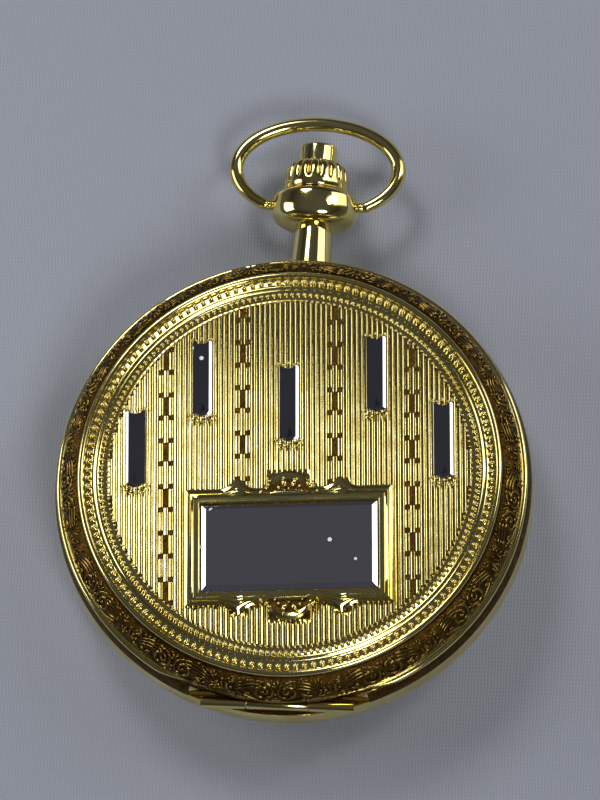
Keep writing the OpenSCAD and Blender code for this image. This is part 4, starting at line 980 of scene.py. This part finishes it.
def build_pendant():
    """Pendant: footed neck, cup and rounded collar."""
    foot = [(2.2, 21.0), (2.2, 23.0), (2.34, 23.25), (2.36, 23.55), (2.28, 23.75), (2.12, 23.85), (1.96, 25.8)]
    cup = curve3((1.8, 27.8), (3.9, 28.05), (4.18, 29.15), 14)
    collar = [(4.24, 29.45), (4.27, 29.8), (4.27, 30.15)] + round_arc(3.47, 30.6, 0.8, 8, 90, 10)
    inside = [(1.12, 31.4), (1.05, 31.33), (1.05, 29.8), (1.5, 29.3), (1.5, 21.0)]

    def flattened(_, angle, radius):
        """The collar is oval: less deep than it is wide."""
        deep = min(radius, NECK_R + (radius - NECK_R) * COLLAR_DEPTH)
        return radius * deep / math.hypot(deep * math.cos(angle), radius * math.sin(angle))

    mesh_piece("pendant_shell", along_stem(foot + cup + collar + inside, 96, flattened), "gold", "case",
               ("pendant",), sharp=45)


def bow_line():
    """Middle line of the bow: an oval with straight ends at its pivots, and the wire's radius along it."""
    mid, reach = PIVOT_Y + BOW_WIDEST * BOW_HEIGHT, (1 - BOW_WIDEST) * BOW_HEIGHT
    start = -math.acos((BOW_BUTT + 1.0) / BOW_HALF)
    path = [(BOW_BUTT + x, PIVOT_Y + y) for x, y in (
        (0.0, 0.0), (0.08, 0.0), (0.3, 0.0), (0.4, 0.005), (0.5, 0.02), (0.75, 0.09))]
    radii = [PIN_R, 0.52, 0.53, 0.45, 0.5, 0.56]
    for i in range(57):
        angle = start + (math.pi / 2 - start) * i / 56
        path.append((BOW_HALF * math.cos(angle), mid + reach * math.sin(angle)))
        radii.append(WIRE_R - 0.17 * (1 - min(1.0, (i + 1) / 22)) ** 2)
    path += [(-x, y) for x, y in reversed(path[:-1])]
    return [(x, y, STEM_Z) for x, y in path], radii + list(reversed(radii[:-1]))


def build_bow():
    """Round wire bow and its two pins."""
    pins = [sweep([(side * x, PIVOT_Y, STEM_Z) for x in (3.5, 4.4)], [PIN_R, PIN_R], 16) for side in (-1, 1)]
    mesh_piece("bow_wire", joined([sweep(*bow_line(), 24)] + pins), "gold", "bow", ("bow",), sharp=50)


def build_crown(sizes):
    """Domed crown with rounded lobes over a plain skirt."""
    lobes, deep = sizes.crown_lobes, sizes.crown_groove / MM
    skirt = [(r, CROWN_LOW + rise) for r, rise in (
        (1.0, 0.0), (2.9, 0.0), (3.12, 0.1), (CROWN_R, 0.3), (CROWN_R, 0.75))]
    dome = curve3((CROWN_R, CROWN_LOW + 0.9), (3.24, CROWN_TOP - 0.02), (2.1, CROWN_TOP), 22)
    bore = [(1.95, CROWN_TOP), (1.91, CROWN_TOP - 0.05), (1.91, BORE_FLOOR), (1.0, BORE_FLOOR)]
    first, last = len(skirt), len(skirt) + len(dome) - 1

    def lobe(i, angle, radius):
        """The dome's radius between and on its lobes; the grooves run out at both ends."""
        if not first <= i <= last:
            return radius
        share = (i - first) / (last - first)
        across = 2 * ((lobes * angle / TAU) % 1.0) - 1
        groove = 1 - math.sqrt(max(0.0, 1 - abs(across) ** 2.6))
        run_out = math.sqrt(min(1.0, share / 0.16)) * min(1.0, (1 - share) / 0.1 + 0.25)
        return radius - deep * groove * run_out * radius / CROWN_R

    mesh_piece("crown_dome", along_stem(skirt + dome + bore, lobes * 14, lobe), "gold", "crown", ("crown",),
               sharp=60)


def build_button():
    """Release button with its push rod."""
    top = [(0.02, BUTTON_TOP), (1.35, BUTTON_TOP - 0.01)] + round_arc(1.5, BUTTON_TOP - 0.37, 0.37, 85, 0, 7)
    rod = [(1.87, 34.15), (1.8, 34.1), (0.45, 34.1), (0.45, 22.0), (0.02, 22.0)]
    mesh_piece("button_cap", along_stem(top + rod, 72), "gold", "button", ("crown_button",), sharp=40)


# Dial

DIAL_TOP = 7.0
INK_HIGH = 0.012
SECONDS_PLACE = (0.0, -9.0)
# Radius and length of the bars of each track
MINUTE_TRACK = (16.34, 1.0)
SECONDS_TRACK = (3.05, 0.58)


def tick(track, width):
    """A printed bar on the dial's line to twelve, for repeating round."""
    radius, length = track
    return box_mesh((-width / 2, radius, DIAL_TOP), (width / 2, radius + length, DIAL_TOP + INK_HIGH), 0.002)


def numeral(text, size, x, y):
    """A printed number, centred at a place on the dial."""
    letters = bpy.data.curves.new("numeral", "FONT")
    letters.body, letters.size = text, size
    letters.align_x, letters.align_y = "CENTER", "CENTER"
    letters.extrude = INK_HIGH / 2
    shown = bpy.data.objects.new("numeral", letters)
    bpy.context.scene.collection.objects.link(shown)
    mesh = bpy.data.meshes.new_from_object(shown.evaluated_get(bpy.context.evaluated_depsgraph_get()))
    verts = [(v.co.x + x, v.co.y + y, v.co.z + DIAL_TOP + INK_HIGH / 2) for v in mesh.vertices]
    faces = [tuple(f.vertices) for f in mesh.polygons]
    bpy.data.objects.remove(shown)
    bpy.data.curves.remove(letters)
    bpy.data.meshes.remove(mesh)
    return verts, faces


def number_ring(values, whole, size, middle, radius):
    """Printed numbers round a circle, whole of them to a turn."""
    shapes = []
    for value in values:
        angle = TAU / 4 - TAU * value / whole
        shapes.append(numeral(str(value), size, middle[0] + radius * math.cos(angle),
                              middle[1] + radius * math.sin(angle)))
    return shapes


def flat_ring(middle, inner, outer, steps):
    """A printed circle."""
    high = DIAL_TOP + INK_HIGH
    verts, faces = revolve([(inner, DIAL_TOP), (outer, DIAL_TOP), (outer, high), (inner, high)], steps)
    return [(x + middle[0], y + middle[1], z) for x, y, z in verts], faces


def build_dial_print():
    """Printed numbers, minute track and seconds track."""
    hours = [hour for hour in range(1, 13) if hour != 6]
    shapes = number_ring(hours, 12, 3.7, (0.0, 0.0), 14.0)
    shapes += number_ring((15, 30, 45, 60), 60, 0.85, SECONDS_PLACE, 2.45)
    for middle, inner, outer, steps in (((0, 0), 16.3, 16.38, 180), ((0, 0), 17.3, 17.38, 180),
                                        (SECONDS_PLACE, 3.02, 3.08, 90), (SECONDS_PLACE, 3.6, 3.66, 90)):
        shapes.append(flat_ring(middle, inner, outer, steps))
    mesh_piece("dial_numbers", joined(shapes), "ink", "case", smooth=False)
    tracks = round_tree(FINISH["ink"])
    seconds_middle = tuple(c * MM for c in SECONDS_PLACE + (0.0,))
    tree_piece("dial_minutes", tracks, {"Count": 60}, "case", seed=tick(MINUTE_TRACK, 0.1))
    tree_piece("dial_hours", tracks, {"Count": 12}, "case", seed=tick(MINUTE_TRACK, 0.42))
    tree_piece("dial_seconds", tracks, {"Count": 60, "Middle": seconds_middle}, "case",
               seed=tick(SECONDS_TRACK, 0.06))


# Stage

FLOOR_HALF = 1.5
# Direction and pitch, in metres, of the cloth's threads
THREADS = (("X", 0.00031), ("Y", 0.00038))

# Name, place, aim, size (all in millimetres) and power of each soft light
STAGE_LIGHTS = (
    ("Window", (-150, 14, 90), (0, 14, 90), (104, 88), 0.105),
    ("Right window", (190, 130, 105), (0, 60, 20), (110, 170), 0.1),
    ("Right strip", (337, 195, 403), (0, 0, 8), (110, 230), 0.35),
    ("Upper left", (-300, 600, 741), (0, 0, 8), (340, 340), 2.6),
    ("Lower right", (321, -557, 766), (0, 0, 8), (340, 340), 3.1),
)

# Tones of the room from the horizon to straight up
ROOM_STOPS = ((0.02, (0.12, 0.12, 0.125, 1)), (0.35, (0.08, 0.08, 0.0848, 1)), (0.55, (0.03, 0.03, 0.0318, 1)),
              (0.95, (0.1, 0.1, 0.11, 1)))
ROOM_STRENGTH = 0.8

# The camera's direction and roll in degrees, the point that it looks at and its distance in millimetres, its lens
CAMERA_AZIMUTH, CAMERA_ELEVATION, CAMERA_ROLL = -73.389, 70.279, -13.683
CAMERA_TARGET = (-0.033, 9.4867, 6.0)
CAMERA_AWAY = 800
CAMERA_LENS = 489.1
CAMERA_SENSOR = 36.0


def cloth_material(name, pale, dim):
    """Plain pale cloth floor with a fine weave."""
    material, tree, shader = new_material(name, {"Roughness": 0.9, "Sheen Weight": 0.2})
    where = place(tree)
    across, along = (
        add(tree, "ShaderNodeTexWave", {"Vector": where, "Scale": 0.314 / pitch, "Distortion": 3.0, "Detail": 2.0,
                                        "Detail Scale": 0.6}, bands_direction=way).outputs["Fac"]
        for way, pitch in THREADS)
    weave = calc(tree, "MULTIPLY_ADD", across, 0.7, calc(tree, "MULTIPLY", along, 0.3))
    cloud = calc(tree, "MULTIPLY", noise(tree, where, 14.0, 3.0), 0.25)
    feed(tree, shader, {"Base Color": blend(tree, calc(tree, "MULTIPLY_ADD", weave, 0.75, cloud), dim, pale),
                        "Normal": bump(tree, 0.25, weave)})
    return material


def soft_light(name, spot, aim, size, power):
    """A soft light aimed at a point: round where its two sizes agree, otherwise a panel."""
    lamp = bpy.data.lights.new(name, "AREA")
    lamp.shape = "ELLIPSE" if size[0] == size[1] else "RECTANGLE"
    lamp.size, lamp.size_y = size[0] * MM, size[1] * MM
    lamp.energy = power
    made = bpy.data.objects.new(name, lamp)
    made.location = Vector(spot) * MM
    made.rotation_euler = (Vector(aim) - Vector(spot)).to_track_quat("-Z", "Y").to_euler()
    made.visible_camera = False
    bpy.context.scene.collection.objects.link(made)


def build_floor(scene, colors):
    """The cloth that the watch lies on."""
    mesh = bpy.data.meshes.new("floor")
    corners = [(x * FLOOR_HALF, y * FLOOR_HALF, 0) for x, y in ((-1, -1), (1, -1), (1, 1), (-1, 1))]
    mesh.from_pydata(corners, [], [(0, 1, 2, 3)])
    mesh.materials.append(cloth_material("Pale cloth", opaque(colors.cloth), opaque(colors.cloth_shade)))
    floor = bpy.data.objects.new("floor", mesh)
    scene.collection.objects.link(floor)


def build_room(scene):
    """The dim room that the metal mirrors."""
    world = bpy.data.worlds.new("Soft room")
    world.use_nodes = True
    tree = world.node_tree
    where = add(tree, "ShaderNodeTexCoord").outputs["Generated"]
    up = add(tree, "ShaderNodeSeparateXYZ", {0: where}).outputs["Z"]
    ramp = add(tree, "ShaderNodeValToRGB", {"Fac": up})
    stops = ramp.color_ramp.elements
    first, *between, last = ROOM_STOPS
    stops[0].position, stops[0].color = first
    stops[1].position, stops[1].color = last
    for position, color in between:
        stops.new(position).color = color
    back = tree.nodes["Background"]
    feed(tree, back, {"Color": ramp.outputs[0]})
    back.inputs["Strength"].default_value = ROOM_STRENGTH
    scene.world = world


def build_camera(scene):
    """The camera at the photograph's angle."""
    az, el, roll = (math.radians(a) for a in (CAMERA_AZIMUTH, CAMERA_ELEVATION, CAMERA_ROLL))
    away = Vector((math.cos(el) * math.cos(az), math.cos(el) * math.sin(az), math.sin(el)))
    right = Vector((0, 0, 1)).cross(away).normalized()
    over = away.cross(right)
    right, over = (right * math.cos(roll) + over * math.sin(roll), over * math.cos(roll) - right * math.sin(roll))
    lens = bpy.data.cameras.new("Camera")
    lens.sensor_fit = "HORIZONTAL"
    lens.sensor_width, lens.lens = CAMERA_SENSOR, CAMERA_LENS
    lens.clip_start, lens.clip_end = 0.01, 10.0
    camera = bpy.data.objects.new("Camera", lens)
    turn = Matrix((right, over, away)).transposed()
    camera.matrix_world = Matrix.Translation((Vector(CAMERA_TARGET) + away * CAMERA_AWAY) * MM) @ turn.to_4x4()
    scene.collection.objects.link(camera)
    scene.camera = camera


def build_stage(colors):
    """Floor, room, lights and camera."""
    scene = bpy.context.scene
    scene.view_settings.view_transform = "Standard"
    build_floor(scene, colors)
    build_room(scene)
    for light in STAGE_LIGHTS:
        soft_light(*light)
    build_camera(scene)


# Solids that stay


def finish_solids():
    """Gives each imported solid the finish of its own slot."""
    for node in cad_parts.values():
        slot = node.data.materials[0].name.split(".")[0]
        node.data.materials[0] = FINISH[slot]


# Properties


def shade(name, description, color):
    """A colour that a user would change."""
    return bpy.props.FloatVectorProperty(name=name, description=description, subtype="COLOR", size=3, min=0.0, max=1.0,
                                         default=linear(*color)[:3])


def length(name, description, default):
    """A size in metres that a user would change."""
    return bpy.props.FloatProperty(name=name, description=description, subtype="DISTANCE", unit="LENGTH", min=0.0,
                                   precision=6, default=default)


def number(name, description, default):
    """A count that a user would change."""
    return bpy.props.IntProperty(name=name, description=description, min=3, default=default)


class WatchColors(bpy.types.PropertyGroup):
    """Colours of the watch and the floor."""
    gold: shade("Gold", "Polished gold tone of the case and the ribs", (240, 227, 158))
    gold_deep: shade("Deep gold", "Gold tone where it is handled", (208, 188, 104))
    # The scroll tones are darkened as painted shade
    scroll: shade("Scrolls", "Gold tone of the scroll border, darkened as painted shade", (152, 127, 60))
    scroll_deep: shade("Deep scrolls", "Darkened parts of the scroll border, with painted shade", (96, 75, 30))
    # The ground tones colour the antiqued ground and the painted shade in recesses, gaps, the seam and the hinge bed
    ground: shade("Ground", "Antiqued ground and painted shade under the relief", (100, 72, 27))
    ground_deep: shade("Deep ground", "Darkest parts of the antiqued ground and painted shade", (56, 39, 13))
    plate: shade("Engraving plate", "Mirror silver of the plate", (212, 212, 220))
    ribbon: shade("Ribbons", "Dark mirror of the ribbon inlays", (150, 150, 162))
    enamel: shade("Dial enamel", "White of the dial", (244, 242, 234))
    ink: shade("Dial ink", "Printed numbers and tracks", (18, 18, 22))
    gilt: shade("Gilt plates", "Plates and bridges of the movement", (226, 200, 140))
    brass: shade("Wheel brass", "Wheels of the train", (226, 192, 112))
    steel: shade("Steel", "Springs, screws and pinions", (200, 203, 208))
    blued_steel: shade("Blued steel", "Hands and blued screws", (38, 58, 150))
    jewel: shade("Jewels", "Bearing jewels and pallet stones", (188, 26, 58))
    cloth: shade("Cloth", "Lit threads of the floor cloth", (165, 169, 181))
    cloth_shade: shade("Cloth shade", "Shaded threads of the floor cloth", (149, 153, 165))


class WatchSizes(bpy.types.PropertyGroup):
    """Sizes and counts of the ornament."""
    rib_pitch: length("Rib pitch", "Distance from rib to rib", 0.0005)
    rib_width: length("Rib width", "Width of one rib", 0.00047)
    rib_height: length("Rib height", "Height of a rib over the field", 0.000108)
    dash_height: length("Dash height", "Height of a chain's dashes", 0.000112)
    chain_cell: length("Chain cell", "Length of one cell of a chain column", 0.00236)
    outer_bead: length("Outer bead", "Radius of the outer row's beads", 0.0003)
    inner_bead: length("Inner bead", "Radius of the inner row's beads", 0.00023)
    edge_bead: length("Edge bead", "Radius of the beads beside the ribs", 0.00015)
    crown_groove: length("Crown groove", "Depth of the crown's grooves", 0.00042)
    ribs: number("Ribs", "Number of ribs across the field", 71)
    outer_beads: number("Outer beads", "Beads in the outer row", 145)
    inner_beads: number("Inner beads", "Beads in the inner row", 190)
    edge_beads: number("Edge beads", "Beads in the row beside the ribs", 200)
    scrolls: number("Scrolls", "Scroll motifs round the border", 13)
    crown_lobes: number("Crown lobes", "Lobes round the crown", 18)


# Operators


class WATCH_OT_finishes(bpy.types.Operator):
    """Make the metals, enamel, crystal, ink and jewels"""
    bl_idname = "watch.finishes"
    bl_label = "Finishes"

    def execute(self, context):
        make_finishes(context.scene.watch_colors)
        return {"FINISHED"}


class WATCH_OT_stage(bpy.types.Operator):
    """Lay the cloth floor, and place the lights and the camera"""
    bl_idname = "watch.stage"
    bl_label = "Stage"

    def execute(self, context):
        build_stage(context.scene.watch_colors)
        return {"FINISHED"}


class WATCH_OT_solids(bpy.types.Operator):
    """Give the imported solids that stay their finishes"""
    bl_idname = "watch.solids"
    bl_label = "Solids"

    def execute(self, context):
        finish_solids()
        return {"FINISHED"}


class WATCH_OT_seam(bpy.types.Operator):
    """Make the ring of painted shadow under the lid's lip and the painted shade of the hinge bed"""
    bl_idname = "watch.seam"
    bl_label = "Case seam shadow"

    def execute(self, context):
        build_seam()
        return {"FINISHED"}


class WATCH_OT_cover_shell(bpy.types.Operator):
    """Make the lid's smooth shell and its knuckle"""
    bl_idname = "watch.cover_shell"
    bl_label = "Lid shell"

    def execute(self, context):
        build_cover_shell()
        return {"FINISHED"}


class WATCH_OT_ribs(bpy.types.Operator):
    """Make the leaning ribs of the lid's field"""
    bl_idname = "watch.ribs"
    bl_label = "Ribs"

    def execute(self, context):
        build_ribs(context.scene.watch_sizes)
        return {"FINISHED"}


class WATCH_OT_chains(bpy.types.Operator):
    """Make the four chain columns between the ribs"""
    bl_idname = "watch.chains"
    bl_label = "Chains"

    def execute(self, context):
        build_chains(context.scene.watch_sizes)
        return {"FINISHED"}


class WATCH_OT_beads(bpy.types.Operator):
    """Make the bead rows round the field"""
    bl_idname = "watch.beads"
    bl_label = "Beads"

    def execute(self, context):
        build_beads(context.scene.watch_sizes)
        return {"FINISHED"}


class WATCH_OT_border(bpy.types.Operator):
    """Make the scrolls round the lid"""
    bl_idname = "watch.border"
    bl_label = "Scroll border"

    def execute(self, context):
        build_border(context.scene.watch_sizes)
        return {"FINISHED"}


class WATCH_OT_frame(bpy.types.Operator):
    """Make the moulded frame of the engraving plate"""
    bl_idname = "watch.frame"
    bl_label = "Plate frame"

    def execute(self, context):
        build_frame()
        return {"FINISHED"}


class WATCH_OT_plate(bpy.types.Operator):
    """Make the bevelled mirror plate"""
    bl_idname = "watch.plate"
    bl_label = "Engraving plate"

    def execute(self, context):
        build_plate()
        return {"FINISHED"}


class WATCH_OT_ribbons(bpy.types.Operator):
    """Make the five ribbon inlays"""
    bl_idname = "watch.ribbons"
    bl_label = "Ribbons"

    def execute(self, context):
        build_ribbons()
        return {"FINISHED"}


class WATCH_OT_tassels(bpy.types.Operator):
    """Make the tufts at the ribbons' ends"""
    bl_idname = "watch.tassels"
    bl_label = "Tassels"

    def execute(self, context):
        build_tassels()
        return {"FINISHED"}


class WATCH_OT_pendant(bpy.types.Operator):
    """Make the neck and its collar"""
    bl_idname = "watch.pendant"
    bl_label = "Pendant"

    def execute(self, context):
        build_pendant()
        return {"FINISHED"}


class WATCH_OT_bow(bpy.types.Operator):
    """Make the oval wire bow and its pins"""
    bl_idname = "watch.bow"
    bl_label = "Bow"

    def execute(self, context):
        build_bow()
        return {"FINISHED"}


class WATCH_OT_crown(bpy.types.Operator):
    """Make the fluted crown"""
    bl_idname = "watch.crown"
    bl_label = "Crown"

    def execute(self, context):
        build_crown(context.scene.watch_sizes)
        return {"FINISHED"}


class WATCH_OT_button(bpy.types.Operator):
    """Make the release button's cap"""
    bl_idname = "watch.button"
    bl_label = "Button"

    def execute(self, context):
        build_button()
        return {"FINISHED"}


class WATCH_OT_dial_print(bpy.types.Operator):
    """Make the printed numbers and tracks of the dial"""
    bl_idname = "watch.dial_print"
    bl_label = "Dial print"

    def execute(self, context):
        build_dial_print()
        return {"FINISHED"}


STEPS = (
    WATCH_OT_finishes,
    WATCH_OT_stage,
    WATCH_OT_solids,
    WATCH_OT_seam,
    WATCH_OT_cover_shell,
    WATCH_OT_ribs,
    WATCH_OT_chains,
    WATCH_OT_beads,
    WATCH_OT_border,
    WATCH_OT_frame,
    WATCH_OT_plate,
    WATCH_OT_ribbons,
    WATCH_OT_tassels,
    WATCH_OT_pendant,
    WATCH_OT_bow,
    WATCH_OT_crown,
    WATCH_OT_button,
    WATCH_OT_dial_print,
)


class WATCH_PT_builder(bpy.types.Panel):
    """Lists the steps, sizes and colours of the watch."""
    bl_label = "Pocket watch"
    bl_space_type = "VIEW_3D"
    bl_region_type = "UI"
    bl_category = "Watch"

    def draw(self, context):
        column = self.layout.column()
        for step in STEPS:
            column.operator(step.bl_idname)
        for group in (context.scene.watch_sizes, context.scene.watch_colors):
            column.separator()
            for key in group.__annotations__:
                column.prop(group, key)


CLASSES = (WatchColors, WatchSizes) + STEPS + (WATCH_PT_builder,)


def register():
    """Adds the classes and the scene's watch properties."""
    for one in CLASSES:
        bpy.utils.register_class(one)
    bpy.types.Scene.watch_colors = bpy.props.PointerProperty(type=WatchColors)
    bpy.types.Scene.watch_sizes = bpy.props.PointerProperty(type=WatchSizes)


def unregister():
    """Takes away what register added."""
    del bpy.types.Scene.watch_sizes
    del bpy.types.Scene.watch_colors
    for one in reversed(CLASSES):
        bpy.utils.unregister_class(one)


def plain(box):
    """A box's two corners as plain lists of numbers."""
    return [[float(c) for c in corner] for corner in box]


def main():
    """Runs every step in order."""
    register()
    for step in STEPS:
        getattr(bpy.ops.watch, step.bl_idname.split(".")[1])()


if __name__ == "__main__":
    main()
